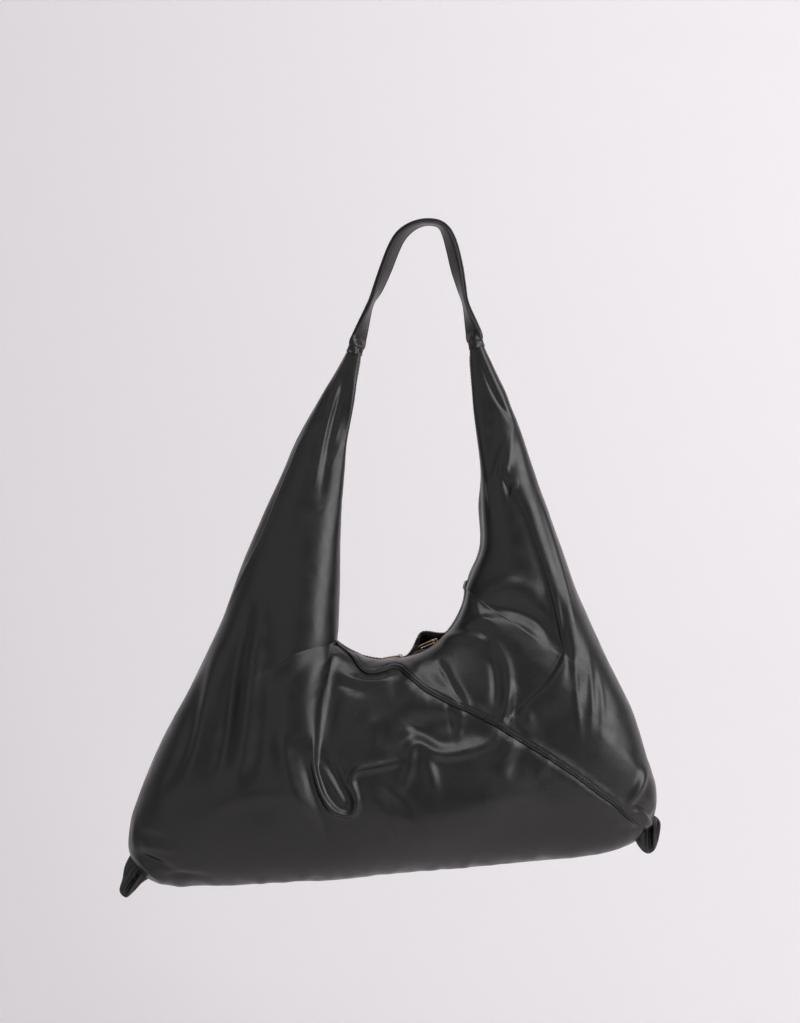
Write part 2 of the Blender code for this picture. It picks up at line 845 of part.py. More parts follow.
def build():
    clear_scene()
    parts = new_collection(COLLECTION)
    cutters = new_collection("cutters", hidden=True)

    black_leather = (0.018, 0.016, 0.015)
    dark_cloth = (0.045, 0.025, 0.018)
    black_tape = (0.012, 0.012, 0.012)
    bronze = (0.42, 0.30, 0.17)

    def leather_look(name):
        return material(name + "_leather", black_leather, 0.42)

    for side, word, keys in ((FRONT, "front", FRONT_SEAM), (BACK, "back", BACK_SEAM)):
        slot, lower, upper = seam_cutters(word + "_seam", keys, cutters)
        # The lower panel of the front is the left one, that of the back is the right one
        low_word, high_word = ("left", "right") if side == FRONT else ("right", "left")
        low_name = f"{word}_{low_word}_panel"
        high_name = f"{word}_{high_word}_panel"
        panel(low_name, side, slot, upper, parts, leather_look(low_name))
        panel(high_name, side, slot, lower, parts, leather_look(high_name))
        name = word + "_lining"
        lining(name, side, parts, material(name + "_cloth", dark_cloth, 0.8))
        name = word + "_seam_piping"
        piping(name, side, keys, parts, leather_look(name))
        name = "zip_tape_" + word
        zip_tape(name, side, parts, material(name + "_cloth", black_tape, 0.85))
        name = "zip_teeth_" + word
        zip_teeth(name, side, parts, material(name + "_metal", bronze, 0.35, 1.0))

    for which, lift in (("left", LEFT_PULL_LIFT), ("right", RIGHT_PULL_LIFT)):
        zip_slider(which, parts, cutters, material(f"zip_slider_{which}_metal", bronze, 0.3, 1.0))
        zip_pull(which, lift, parts, material(f"zip_pull_{which}_metal", bronze, 0.28, 1.0))
    zip_stop("zip_stop_left", CHAIN_MARGIN, -1, parts, material("zip_stop_left_metal", bronze, 0.35, 1.0))
    zip_stop("zip_stop_right", MOUTH_STEPS - CHAIN_MARGIN, 1, parts,
             material("zip_stop_right_metal", bronze, 0.35, 1.0))

    gap_share = FIT_GAP / strap_length()
    left_share = share_at_height(BEND_TOP, True)
    right_share = share_at_height(BEND_TOP, False)
    layer_offset = (STRAP_LAYER + FIT_GAP) / 2
    strap_piece("strap_outer_layer", left_share, right_share, STRAP_STEPS, STRAP_LAYER, layer_offset,
                parts, leather_look("strap_outer_layer"))
    strap_piece("strap_inner_layer", left_share, right_share, STRAP_STEPS, STRAP_LAYER, -layer_offset,
                parts, leather_look("strap_inner_layer"))
    both_layers = 2 * STRAP_LAYER + FIT_GAP
    strap_piece("strap_bend_left", 0, left_share - gap_share, BEND_STEPS, both_layers, 0,
                parts, leather_look("strap_bend_left"))
    strap_piece("strap_bend_right", right_share + gap_share, 1, BEND_STEPS, both_layers, 0,
                parts, leather_look("strap_bend_right"))
    collar("strap_collar_left", 0, LEFT_TIP, LEFT_TIP_LEAN, 0, parts, leather_look("strap_collar_left"))
    collar("strap_collar_right", SHELL_COLUMNS, RIGHT_TIP, RIGHT_TIP_LEAN, 1, parts,
           leather_look("strap_collar_right"))

    envelope = body_envelope(cutters)
    ear("corner_ear_left", LEFT_EAR, envelope, parts, leather_look("corner_ear_left"))
    ear("corner_ear_right", RIGHT_EAR, envelope, parts, leather_look("corner_ear_right"))

    for made in parts.objects:
        if made.type == "MESH":
            made.data.shade_smooth()
            made.data.set_sharp_from_angle(angle=math.radians(35))
    for which in ("left", "right"):
        print(f"slider_{which} angle", round(math.degrees(slider_angle(which)), 3))
        print(f"pull_{which} pivot", [round(v, 5) for v in pull_pivot(which)])


build()
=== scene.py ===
import json
import math

import bmesh
import bpy
import numpy as np
from mathutils import Matrix, Vector, noise
from mathutils.bvhtree import BVHTree

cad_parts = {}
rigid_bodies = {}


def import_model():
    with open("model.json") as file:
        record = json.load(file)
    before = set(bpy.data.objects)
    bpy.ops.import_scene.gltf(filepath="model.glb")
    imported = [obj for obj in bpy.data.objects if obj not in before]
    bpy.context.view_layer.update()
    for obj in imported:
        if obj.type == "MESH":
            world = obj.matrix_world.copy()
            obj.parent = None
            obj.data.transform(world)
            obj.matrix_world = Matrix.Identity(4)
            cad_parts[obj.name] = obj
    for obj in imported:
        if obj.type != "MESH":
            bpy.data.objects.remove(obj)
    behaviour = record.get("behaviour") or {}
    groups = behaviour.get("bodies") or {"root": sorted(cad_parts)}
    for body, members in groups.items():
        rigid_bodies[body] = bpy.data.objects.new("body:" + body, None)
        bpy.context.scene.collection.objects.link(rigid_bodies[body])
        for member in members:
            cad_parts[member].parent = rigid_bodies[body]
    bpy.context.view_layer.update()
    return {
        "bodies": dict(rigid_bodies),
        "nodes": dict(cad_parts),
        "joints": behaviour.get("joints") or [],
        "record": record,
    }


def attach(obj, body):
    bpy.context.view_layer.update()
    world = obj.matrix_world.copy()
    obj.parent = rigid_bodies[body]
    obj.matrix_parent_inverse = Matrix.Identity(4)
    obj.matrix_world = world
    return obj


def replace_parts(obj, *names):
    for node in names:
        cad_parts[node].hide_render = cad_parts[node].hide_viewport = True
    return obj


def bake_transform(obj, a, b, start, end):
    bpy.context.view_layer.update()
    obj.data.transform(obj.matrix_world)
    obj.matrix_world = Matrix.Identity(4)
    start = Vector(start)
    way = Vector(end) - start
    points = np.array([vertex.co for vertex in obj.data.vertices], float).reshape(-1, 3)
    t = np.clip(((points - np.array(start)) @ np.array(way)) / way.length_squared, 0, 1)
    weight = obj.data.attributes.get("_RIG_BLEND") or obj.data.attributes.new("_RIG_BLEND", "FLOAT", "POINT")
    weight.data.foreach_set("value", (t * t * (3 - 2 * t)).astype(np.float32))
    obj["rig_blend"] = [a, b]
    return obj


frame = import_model()
print("frame loaded:", len(frame["nodes"]), "nodes")

# Metres, Z up, front is -Y. Shape tables are in millimetres in the XZ plane of the strap, and mm() turns
# them into metres.
millimetre = 0.001
front = -1
back = 1


def mm(*values):
    scaled = [value * millimetre for value in values]
    return scaled[0] if len(scaled) == 1 else Vector(scaled)


# Camera: level and square to the bag, with a long lens

photoView = {
    "place": (-31, -2500, -287.5),
    "frameHeight": 1023,   # millimetres that the photograph spans in the plane of the strap
    "sensor": 36,
}


def makeCamera():
    data = bpy.data.cameras.new("photoCamera")
    data.sensor_width = photoView["sensor"]
    data.lens = photoView["sensor"] * -photoView["place"][1] / photoView["frameHeight"]
    data.clip_end = 20
    camera = bpy.data.objects.new("photoCamera", data)
    camera.location = mm(*photoView["place"])
    camera.rotation_euler = (math.pi / 2, 0, 0)
    bpy.context.scene.collection.objects.link(camera)
    bpy.context.scene.camera = camera


makeCamera()


# Materials

def toLinear(hexColour):
    channels = [int(hexColour[i:i + 2], 16) / 255 for i in (1, 3, 5)]
    return tuple(c / 12.92 if c <= 0.04045 else ((c + 0.055) / 1.055) ** 2.4 for c in channels) + (1,)


def addNode(tree, kind, values=None, links=None, **settings):
    node = tree.nodes.new(kind)
    for key, value in settings.items():
        setattr(node, key, value)
    for key, value in (values or {}).items():
        node.inputs[key].default_value = value
    for key, source in (links or {}).items():
        tree.links.new(source, node.inputs[key])
    return node


def newMaterial(name, **shaderValues):
    made = bpy.data.materials.new(name)
    made.use_nodes = True
    tree = made.node_tree
    shader = tree.nodes["Principled BSDF"]
    for key, value in shaderValues.items():
        shader.inputs[key.replace("_", " ")].default_value = value
    made.diffuse_color = shader.inputs["Base Color"].default_value
    return made, tree, shader


def addNoise(tree, coords, size, detail, **more):
    values = {"Scale": 1 / mm(size), "Detail": detail, **more}
    return addNode(tree, "ShaderNodeTexNoise", values, {"Vector": coords}).outputs["Fac"]


def addMaths(tree, operation, *terms):
    node = addNode(tree, "ShaderNodeMath", operation=operation)
    for slot, term in zip(node.inputs, terms):
        if isinstance(term, float):
            slot.default_value = term
        else:
            tree.links.new(term, slot)
    return node.outputs[0]


def addBump(tree, depth, height, **links):
    links = {"Height": height, **links}
    return addNode(tree, "ShaderNodeBump", {"Distance": mm(depth)}, links).outputs["Normal"]


def blendColours(tree, share, low, high):
    ramp = addNode(tree, "ShaderNodeValToRGB", links={"Fac": share})
    ramp.color_ramp.elements[0].color = toLinear(low)
    ramp.color_ramp.elements[1].color = toLinear(high)
    return ramp.outputs["Color"]


nappaLook = {
    "dark": "#110f0e",
    "light": "#1b1917",
    "roughLow": 0.28,
    "roughHigh": 0.4,
    "pore": 1.3,          # lamb nappa's pores are 0.3 mm apart; drawn coarser so that they show
    "poreDepth": 0.06,
    "crinkle": 9,         # fine handling creases, in patches
    "crinkleDepth": 0.03,
    "patch": 45,
    "slack": 24,          # soft unevenness of the loose hide
    "slackDepth": 0.3,
}


def makeNappa(name, look):
    # Drum-dyed lamb nappa with a thin satin finish: near black all through, broad soft highlights, fine
    # creases
    made, tree, shader = newMaterial(name, Base_Color=toLinear(look["dark"]), Roughness=0.4, IOR=1.5)
    coords = addNode(tree, "ShaderNodeTexCoord").outputs["Object"]
    patches = addNoise(tree, coords, look["patch"], 4.0, Roughness=0.6)
    tree.links.new(blendColours(tree, patches, look["dark"], look["light"]), shader.inputs["Base Color"])
    smears = addNoise(tree, coords, look["patch"] / 3, 3.0)
    spread = {"From Min": 0.3, "From Max": 0.7, "To Min": look["roughLow"], "To Max": look["roughHigh"]}
    rough = addNode(tree, "ShaderNodeMapRange", spread, {"Value": smears})
    tree.links.new(rough.outputs["Result"], shader.inputs["Roughness"])
    slack = addNoise(tree, coords, look["slack"], 2.0, Roughness=0.45)
    slackBump = addBump(tree, look["slackDepth"], slack)
    # creases are the valleys of a noise near its middle value, and come in patches
    folded = addNoise(tree, coords, look["crinkle"], 3.0, Roughness=0.5, Distortion=1.2)
    away = addMaths(tree, "ABSOLUTE", addMaths(tree, "SUBTRACT", folded, 0.5))
    crinkle = addNode(tree, "ShaderNodeMapRange", {"From Min": 0.0, "From Max": 0.09}, {"Value": away},
                      interpolation_type="SMOOTHSTEP").outputs["Result"]
    where = addNode(tree, "ShaderNodeMapRange", {"From Min": 0.5, "From Max": 0.72},
                    {"Value": patches}).outputs["Result"]
    crinkleBump = addBump(tree, look["crinkleDepth"], crinkle, Strength=where, Normal=slackBump)
    pores = addNode(tree, "ShaderNodeTexVoronoi", {"Scale": 1 / mm(look["pore"])}, {"Vector": coords},
                    feature="SMOOTH_F1").outputs["Distance"]
    poreBump = addBump(tree, look["poreDepth"], pores, Normal=crinkleBump)
    tree.links.new(poreBump, shader.inputs["Normal"])
    return made


def makeDrill(name, dark, light, threadWidth, rough=0.85):
    # Woven cotton or polyester: matt, its diagonal twill ribs just visible
    made, tree, shader = newMaterial(name, Base_Color=toLinear(dark), Roughness=rough, IOR=1.45,
                                     Sheen_Weight=0.15, Sheen_Roughness=0.6)
    coords = addNode(tree, "ShaderNodeTexCoord").outputs["Object"]
    ribs = addNode(tree, "ShaderNodeTexWave",
                   {"Scale": 1 / mm(threadWidth) / 20, "Distortion": 1.0, "Detail": 2.0},
                   {"Vector": coords}, bands_direction="DIAGONAL").outputs["Fac"]
    fuzz = addNoise(tree, coords, threadWidth * 6, 3.0)
    mixed = addMaths(tree, "MULTIPLY", ribs, fuzz)
    tree.links.new(blendColours(tree, mixed, dark, light), shader.inputs["Base Color"])
    tree.links.new(addBump(tree, threadWidth / 5, ribs), shader.inputs["Normal"])
    return made


bronzeLook = {
    "tarnished": "#80624c",
    "polished": "#e0cbb0",
    "rough": 0.26,
    "worn": 1.5,
    "rubbed": 0.7,
    "wear": 2.2,
    "scratch": 0.5,
    "scratchDepth": 0.02,
}


def makeBronze(name, look):
    # Zinc castings and wire with an antique bronze plate: brown in the hollows, pale where hands rub it
    tarnished, rough = look["tarnished"], look["rough"]
    made, tree, shader = newMaterial(name, Base_Color=toLinear(tarnished), Roughness=rough, Metallic=1.0)
    coords = addNode(tree, "ShaderNodeTexCoord").outputs["Object"]
    wear = addNoise(tree, coords, look["wear"], 4.0)
    tree.links.new(blendColours(tree, wear, tarnished, look["polished"]), shader.inputs["Base Color"])
    worn = {"To Min": rough * look["worn"], "To Max": rough * look["rubbed"]}
    worn = addNode(tree, "ShaderNodeMapRange", worn, {"Value": wear})
    tree.links.new(worn.outputs["Result"], shader.inputs["Roughness"])
    scratches = addNoise(tree, coords, look["scratch"], 2.0)
    tree.links.new(addBump(tree, look["scratchDepth"], scratches), shader.inputs["Normal"])
    return made


nappa = makeNappa("blackLambNappa", nappaLook)
strapNappa = makeNappa("strapNappa", dict(nappaLook, light="#262321", crinkle=4, slack=12, slackDepth=0.2))
liningDrill = makeDrill("brownCottonDrill", "#23120e", "#3a1e17", 0.8)
tapeTwill = makeDrill("blackPolyesterTape", "#101011", "#222224", 0.9)
stitchThread = makeDrill("blackBondedThread", "#1b1918", "#3a3633", 0.5, 0.6)
bronze = makeBronze("antiqueBronzePlate", bronzeLook)
print("materials made")


# Smooth lines through given points

def smoothLine(points, perSpan):
    # Catmull-Rom through rows of any length; perSpan new points for each span
    points = np.array(points, float)
    padded = np.vstack([points[0], points, points[-1]])
    t = np.linspace(0, 1, perSpan, endpoint=False)[:, None]
    pieces = []
    for i in range(len(points) - 1):
        a, b, c, d = padded[i:i + 4]
        pieces.append(0.5 * (2 * b + (c - a) * t + (2 * a - 5 * b + 4 * c - d) * t ** 2
                             + (3 * b - a - 3 * c + d) * t ** 3))
    return np.vstack(pieces + [points[-1:]])


def unit(vectors):
    return vectors / np.linalg.norm(vectors, axis=1, keepdims=True)


def rightOf(run):
    return np.stack([run[:, 1], -run[:, 0]], axis=1)


def lengthsAlong(line):
    return np.concatenate([[0], np.cumsum(np.linalg.norm(np.diff(line, axis=0), axis=1))])


def spotsAt(places, lengths, line):
    return np.stack([np.interp(places, lengths, line[:, k]) for k in range(line.shape[1])], axis=1)


def evenLine(points, count):
    # The same line with its points evenly spaced; its length is measured in the first two columns
    fine = smoothLine(points, 40)
    lengths = lengthsAlong(fine[:, :2])
    return spotsAt(np.linspace(0, lengths[-1], count), lengths, fine)


def nearLine(places, line):
    # Signed distance (positive on the right-hand side as the line runs) and the line's third value there
    best = np.full(len(places), 1e9)
    signed = np.zeros(len(places))
    value = np.zeros(len(places))
    for a, b in zip(line, line[1:]):
        run = b[:2] - a[:2]
        length = max(np.hypot(*run), 1e-9)
        offset = places - a[:2]
        share = np.clip(offset @ run / length ** 2, 0, 1)
        gap = offset - share[:, None] * run
        distance = np.hypot(gap[:, 0], gap[:, 1])
        nearer = distance < best
        side = np.where(offset[:, 0] * run[1] - offset[:, 1] * run[0] >= 0, 1.0, -1.0)
        best = np.where(nearer, distance, best)
        signed = np.where(nearer, distance * side, signed)
        if len(a) > 2:
            value = np.where(nearer, a[2] + (b[2] - a[2]) * share, value)
    return signed, value


def softStep(share):
    share = np.clip(share, 0, 1)
    return share * share * (3 - 2 * share)


def hump(distance, width):
    return np.exp(-(distance / width) ** 2)


# Mesh helpers

def pick(made):
    bpy.ops.object.select_all(action="DESELECT")
    made.select_set(True)
    bpy.context.view_layer.objects.active = made


def applyAll(made):
    pick(made)
    for modifier in list(made.modifiers):
        bpy.ops.object.modifier_apply(modifier=modifier.name)


def smoothShade(made, angle):
    pick(made)
    bpy.ops.object.shade_smooth_by_angle(angle=math.radians(angle))


def thicken(made, thickness, offset, angle, rimOnly=False):
    layer = made.modifiers.new("thickness", "SOLIDIFY")
    layer.thickness = mm(thickness)
    layer.offset = offset
    layer.use_rim_only = rimOnly
    applyAll(made)
    smoothShade(made, angle)


def vertexPlaces(mesh):
    places = np.zeros(len(mesh.vertices) * 3)
    mesh.vertices.foreach_get("co", places)
    return places.reshape(-1, 3) / millimetre


def setPlaces(mesh, places):
    mesh.vertices.foreach_set("co", (np.asarray(places) * millimetre).ravel())
    mesh.update()


def vertexNormals(mesh):
    normals = np.zeros(len(mesh.vertices) * 3)
    mesh.vertices.foreach_get("normal", normals)
    return normals.reshape(-1, 3)


def setAttribute(mesh, name, values):
    mesh.attributes.new(name, "FLOAT", "POINT").data.foreach_set("value", np.ravel(values))


def readAttribute(mesh, name):
    values = np.zeros(len(mesh.vertices))
    mesh.attributes[name].data.foreach_get("value", values)
    return values


def newObject(name, mesh, material):
    mesh.materials.clear()
    mesh.materials.append(material)
    made = bpy.data.objects.new(name, mesh)
    bpy.context.scene.collection.objects.link(made)
    return made


def gridPiece(name, grid, material):
    # A primitive grid whose points are moved to the places of a columns x rows table
    columns, rows = grid.shape[:2]
    bpy.ops.object.select_all(action="DESELECT")
    bpy.ops.mesh.primitive_grid_add(x_subdivisions=columns - 1, y_subdivisions=rows - 1, size=1)
    made = bpy.context.object
    made.name = name
    made.data.name = name
    setPlaces(made.data, grid.transpose(1, 0, 2).reshape(-1, 3))
    made.data.materials.append(material)
    return made


def faceOutward(made, side):
    normals = np.zeros(len(made.data.polygons) * 3)
    made.data.polygons.foreach_get("normal", normals)
    if normals.reshape(-1, 3)[:, 1].mean() * side < 0:
        made.data.flip_normals()


def tubeRings(name, rings, material):
    # Rings of points joined into a skin, its two ends closed by caps
    count, around = rings.shape[:2]
    faces = [(i * around + k, i * around + (k + 1) % around, (i + 1) * around + (k + 1) % around,
              (i + 1) * around + k) for i in range(count - 1) for k in range(around)]
    faces += [tuple(range(around))[::-1], tuple((count - 1) * around + k for k in range(around))]
    mesh = bpy.data.meshes.new(name)
    mesh.from_pydata((rings.reshape(-1, 3) * millimetre).tolist(), [], faces)
    made = newObject(name, mesh, material)
    outwards(made)
    return made


def outwards(made):
    pick(made)
    bpy.ops.object.mode_set(mode="EDIT")
    bpy.ops.mesh.select_all(action="SELECT")
    bpy.ops.mesh.normals_make_consistent(inside=False)
    bpy.ops.object.mode_set(mode="OBJECT")


def joined(name, pieces, material):
    bpy.ops.object.select_all(action="DESELECT")
    for piece in pieces:
        piece.select_set(True)
    bpy.context.view_layer.objects.active = pieces[0]
    if len(pieces) > 1:
        bpy.ops.object.join()
    made = bpy.context.view_layer.objects.active
    made.name = name
    made.data.name = name
    made.data.materials.clear()
    made.data.materials.append(material)
    return made


def copyAlong(name, source, spots, along, out, material):
    # One modelled shape copied to each spot, its X along the row and its Z out of the surface
    along = unit(along)
    across = np.cross(out, along)
    across /= np.maximum(np.linalg.norm(across, axis=1, keepdims=True), 1e-9)
    out = np.cross(along, across)
    shape = vertexPlaces(source.data)
    places = (spots[:, None, :] + shape[None, :, 0, None] * along[:, None, :]
              + shape[None, :, 1, None] * across[:, None, :] + shape[None, :, 2, None] * out[:, None, :])
    faces = [tuple(polygon.vertices) for polygon in source.data.polygons]
    allFaces = [tuple(index + copy * len(shape) for index in face)
                for copy in range(len(spots)) for face in faces]
    mesh = bpy.data.meshes.new(name)
    mesh.from_pydata((places.reshape(-1, 3) * millimetre).tolist(), [], allFaces)
    mesh.shade_smooth()
    return newObject(name, mesh, material)


# Mouth: an arc in the XZ plane, shared with the zip

mouth = {
    "centre": (-44, -355),
    "radius": 80,
    "from": 227,
    "to": 356,
    "halfWidth": 7.0,
    "shutGap": 0.15,
    "openFrom": 282.9,
    "openTo": 304.4,
    "spreadFront": 5,
    "spreadBack": 12,
    "riseBack": 3,
    "lip": 6,
    "bulge": {"from": 282, "to": 318, "rise": 15.5, "spread": 13},   # the rear leather stands open further
}


def openShare(angle):
    # How far the two sides of the zip stand apart: none outside the stretch between the sliders
    share = (np.asarray(angle, float) - mouth["openFrom"]) / (mouth["openTo"] - mouth["openFrom"])
    return np.where((share > 0) & (share < 1), np.sin(np.pi * np.clip(share, 0, 1)) ** 2, 0)


def rimHalfGap(angle):
    ends = (mouth["to"] - mouth["from"]) / 10
    shut = softStep((angle - mouth["from"]) / ends) * softStep((mouth["to"] - angle) / ends)
    return mouth["shutGap"] + (mouth["halfWidth"] - mouth["shutGap"]) * shut


def spreadOf(side, angle):
    return mouth["spreadFront" if side == front else "spreadBack"] * openShare(angle)


def riseOf(side, angle):
    return mouth["riseBack"] * openShare(angle) * (side == back)


def rearBulge(side, angle, key):
    # How far the rear leather rises over the front, or stands back from it
    look = mouth["bulge"]
    share = np.clip((angle - look["from"]) / (look["to"] - look["from"]), 0, 1) ** 1.2
    return look[key] * np.sin(np.pi * share) ** 1.5 * (side == back)


# Body loft: stations from the left arm's tip, round the mouth, to the right arm's tip.
# Each has the rim, the outer edge, the half depth and how far front and back roll in past the rim.

leftArm = [
    # rimX, rimZ, outerX, outerZ, depth, rollFront, rollBack
    (-69.3, -127, -81.7, -123, 9.5, 0.5, 0),
    (-73.5, -150, -96, -149, 11.5, 1.5, 1),
    (-78.5, -180, -114, -179, 14.5, 2.5, 1.5),
    (-85, -215, -135, -217, 19, 3, 2),
    (-88, -248, -149.5, -251, 24, 3, 2),
    (-91, -290, -170, -297, 31, 4, 2),
    (-93.5, -330, -187, -338, 36.5, 3, 2),
    (-96.5, -374, -207, -392, 42, 2, 2),
]
rightArm = [
    (51, -323, 148, -380, 40, 1, 10),
    (51, -283, 128, -328, 33, 1, 10),
    (50, -243, 107, -262, 26, 1, 2),
    (44, -195, 85, -195, 16, 1, 1),
    (40.5, -155, 66.5, -154, 11.5, 0.5, 0.5),
    (38.5, -120.4, 51.1, -117.6, 9.5, 0.5, 0),
]
lowerOutline = [
    (-242, -466), (-267, -512), (-285, -553), (-300, -599), (-298, -637), (-273, -658), (-235, -660.5),
    (-198, -661), (-147, -657), (-92, -655), (-37, -647.5), (36, -642), (110, -636), (159, -630.5),
    (196, -621), (217, -603), (226, -575), (216, -535), (202, -489), (186, -455),
]
bellyDepths = [50, 60, 68, 68, 60, 46]
bodyGrid = {"left": 16, "belly": 14, "right": 18, "rows": 165, "sag": 0.25, "square": 0.8, "stations": 30}

rollLook = {
    "front": 0.5,
    "frontLeft": 1.5,
    "leftUpTo": 0.06,
    "back": 2,
    "backRight": 8,
    "rightFrom": 0.86,
    "rightOver": 0.14,
    "pulls": 2,           # the back rim stands higher behind the open stretch
    "pullsAt": 303,
    "pullsWidth": 9,
}


def stationTable():
    count = bodyGrid["stations"]
    angles = np.linspace(mouth["from"], mouth["to"], count + 1)
    outer = evenLine(lowerOutline, count + 1)
    depth = evenLine([(i, d) for i, d in enumerate(bellyDepths)], count + 1)[:, 1]
    rows = [(*row, mouth["from"]) for row in leftArm]
    for index, angle in enumerate(angles):
        radians = math.radians(angle)
        rim = [mouth["centre"][0] + mouth["radius"] * math.cos(radians),
               mouth["centre"][1] + mouth["radius"] * math.sin(radians)]
        place = index / count
        look = rollLook
        rollFront = look["frontLeft"] * (1 - softStep(place / look["leftUpTo"])) + look["front"]
        rollBack = look["back"] + look["backRight"] * softStep((place - look["rightFrom"]) / look["rightOver"])
        rollBack += look["pulls"] * math.exp(-((angle - look["pullsAt"]) / look["pullsWidth"]) ** 2)
        rows.append((*rim, *outer[index], depth[index], rollFront, rollBack, angle))
    rows += [(*row, mouth["to"]) for row in rightArm]
    return np.array(rows)


def loftColumns(coarse):
    table = stationTable()
    smoothed = smoothLine(table, 360)
    places = []
    counts = [bodyGrid["left"]] * len(leftArm) + [bodyGrid["belly"]] * bodyGrid["stations"]
    counts += [bodyGrid["right"]] * len(rightArm)
    for index, count in enumerate(counts):
        steps = max(count // coarse, 1)
        places += [index + k / steps for k in range(steps)]
    places.append(len(table) - 1)
    picks = np.clip(np.round(np.array(places) * 360).astype(int), 0, len(smoothed) - 1)
    return smoothed[picks]


def loftFace(side, coarse=1):
    # Places of one face, columns x rows x 3, and the turn of each row from the rim (0) to the outer edge (1)
    columns = loftColumns(coarse)
    rows = bodyGrid["rows"] // coarse
    rim, outer = columns[:, None, 0:2], columns[:, None, 2:4]
    depth = columns[:, 4][:, None]
    roll = columns[:, 5 if side == front else 6][:, None]
    angle = np.clip(columns[:, 7], mouth["from"], mouth["to"])[:, None]
    turn = np.concatenate([[0], np.linspace(0, math.pi, rows)])[None, :]
    t = (1 - np.cos(turn)) / 2
    along = t + bodyGrid["sag"] * t * (1 - t)
    flat = rim + (outer - rim) * along[:, :, None]
    inward = rim - outer
    inward = inward / np.linalg.norm(inward, axis=2, keepdims=True)
    bulge = np.sin(np.clip(turn / (0.42 * math.pi), 0, 1) * math.pi) ** 1.2 * roll
    flat = flat + inward * bulge[:, :, None]
    fade = (1 - t) ** 4
    radians = np.radians(angle)
    rise = rearBulge(side, angle, "rise") * fade
    flat = flat - np.stack([np.cos(radians) * rise, np.sin(radians) * rise], axis=2)
    gap = mouth["shutGap"] + (rimHalfGap(angle) - mouth["shutGap"]) * (1 - t)
    spread = np.maximum(spreadOf(side, angle), rearBulge(side, angle, "spread"))
    lip = np.minimum(mouth["lip"] * (1 - t), depth * 0.5)
    swell = lip + (depth - lip) * np.sin(turn) ** bodyGrid["square"]
    swell[:, 0] = 0
    swell[:, -1] = 0
    y = side * (gap + spread * fade + swell)
    y[:, -1] = 0
    grid = np.stack([flat[:, :, 0], y, flat[:, :, 1]], axis=2)
    return grid, np.broadcast_to(turn / math.pi, grid.shape[:2])


def rimDistance(grid):
    steps = np.linalg.norm(np.diff(grid, axis=1), axis=2)
    return np.concatenate([np.zeros((len(grid), 1)), np.cumsum(steps, axis=1)], axis=1)


def seenAt(places):
    # Where places show in the photograph, in the plane of the strap
    eye = np.array(photoView["place"])
    scale = -eye[1] / (places[..., 1] - eye[1])
    return np.stack([eye[k] + (places[..., k] - eye[k]) * scale for k in (0, 2)], axis=-1)


def flatPlaces(places, side):
    return seenAt(places) if side == front else places[..., [0, 2]]


# Seams: the front's runs from the mouth's left end to the right corner, the back's the other way round

seamLines = {
    front: [(-60, -120), (-70, -220), (-76, -300), (-79, -350), (-82, -378), (-86, -396), (-92, -409),
            (-96, -416.5), (-91, -422.5), (-84, -427.5), (-78, -433), (-73, -440.5), (-68, -446.5),
            (-60, -449.2), (-50, -447.7), (-39, -444), (-31, -445), (-24, -451), (-15, -458.5), (-6, -466),
            (10, -474.5), (24, -481.5), (42, -489), (65, -501), (84, -513), (103, -524.5), (122, -536.5),
            (148, -554), (169, -570), (187, -583), (196, -592), (215, -606), (245, -630)],
    back: [(-6, -120), (0, -220), (8, -300), (18, -332), (32, -352), (44, -370), (38, -410), (10, -450),
           (-40, -479), (-110, -515), (-190, -565), (-262, -612), (-296, -636), (-335, -664)],
}
upperSign = {front: -1, back: 1}   # which side of its seam the upper panel lies on
seamLook = {
    "raise": 1.7,        # the upper panel's turned-in edge is two layers thick
    "raiseWidth": 9,
    "edge": 1.5,
    "edgeDrop": 1.2,
    "groove": 3.2,       # its stitches lie this far from the edge
    "grooveDepth": 0.5,
    "grooveWidth": 0.8,
    "tuck": 2.8,         # the lower panel dives under it
    "tuckWidth": 3.4,
    "overlap": 3.2,      # and reaches this far behind it
    "overlapFrom": 6,
    "swell": 0.5,
    "swellAt": 10,
    "swellWidth": 7,
    "pucker": 0.5,
    "cordRadius": 1.1,
    "cordOut": 0.2,
    "cordSides": 10,
    "cordStep": 2.5,
    "cordReach": 0.8,    # each edge is met this far to its side
}


def upperEdge(distance):
    look = seamLook
    rolled = -look["raise"] * look["edgeDrop"] * (1 - softStep(distance / look["edge"]))
    return rolled - look["grooveDepth"] * hump(distance - look["groove"], look["grooveWidth"])


def lowerEdge(distance):
    look = seamLook
    swell = look["swell"] * hump(distance - look["swellAt"], look["swellWidth"])
    return swell - look["tuck"] * hump(distance, look["tuckWidth"])


# Folds, read off the photograph: each is a line of (x, z, height) and a half width.
# A ridge is even on both sides; a lap is full on its right-hand side as the line runs, with a hollow on
# the other.

lapLook = {
    "round": 0.9,
    "fall": 1.8,
    "hollow": 0.35,
    "hollowFrom": 0.25,
    "hollowTo": 1.4,
    "reach": 130,
}


def ridge(distance, height, width):
    return height * hump(distance, width)


def lap(distance, height, width):
    # the roll is as round as it is high, and falls off slowly behind
    look = lapLook
    radius = width + look["round"] * np.maximum(height, 0)
    full = np.clip(distance / radius, 0, 1)
    high = np.sqrt(1 - (1 - full) ** 2) * hump(np.maximum(distance - radius, 0), look["fall"] * radius)
    under = np.maximum(-distance, 0)
    low = -look["hollow"] * (1 - np.exp(-under / (look["hollowFrom"] * radius)))
    low = low * np.exp(-under / (look["hollowTo"] * radius))
    return height * (high + low)


profiles = {"ridge": ridge, "lap": lap}

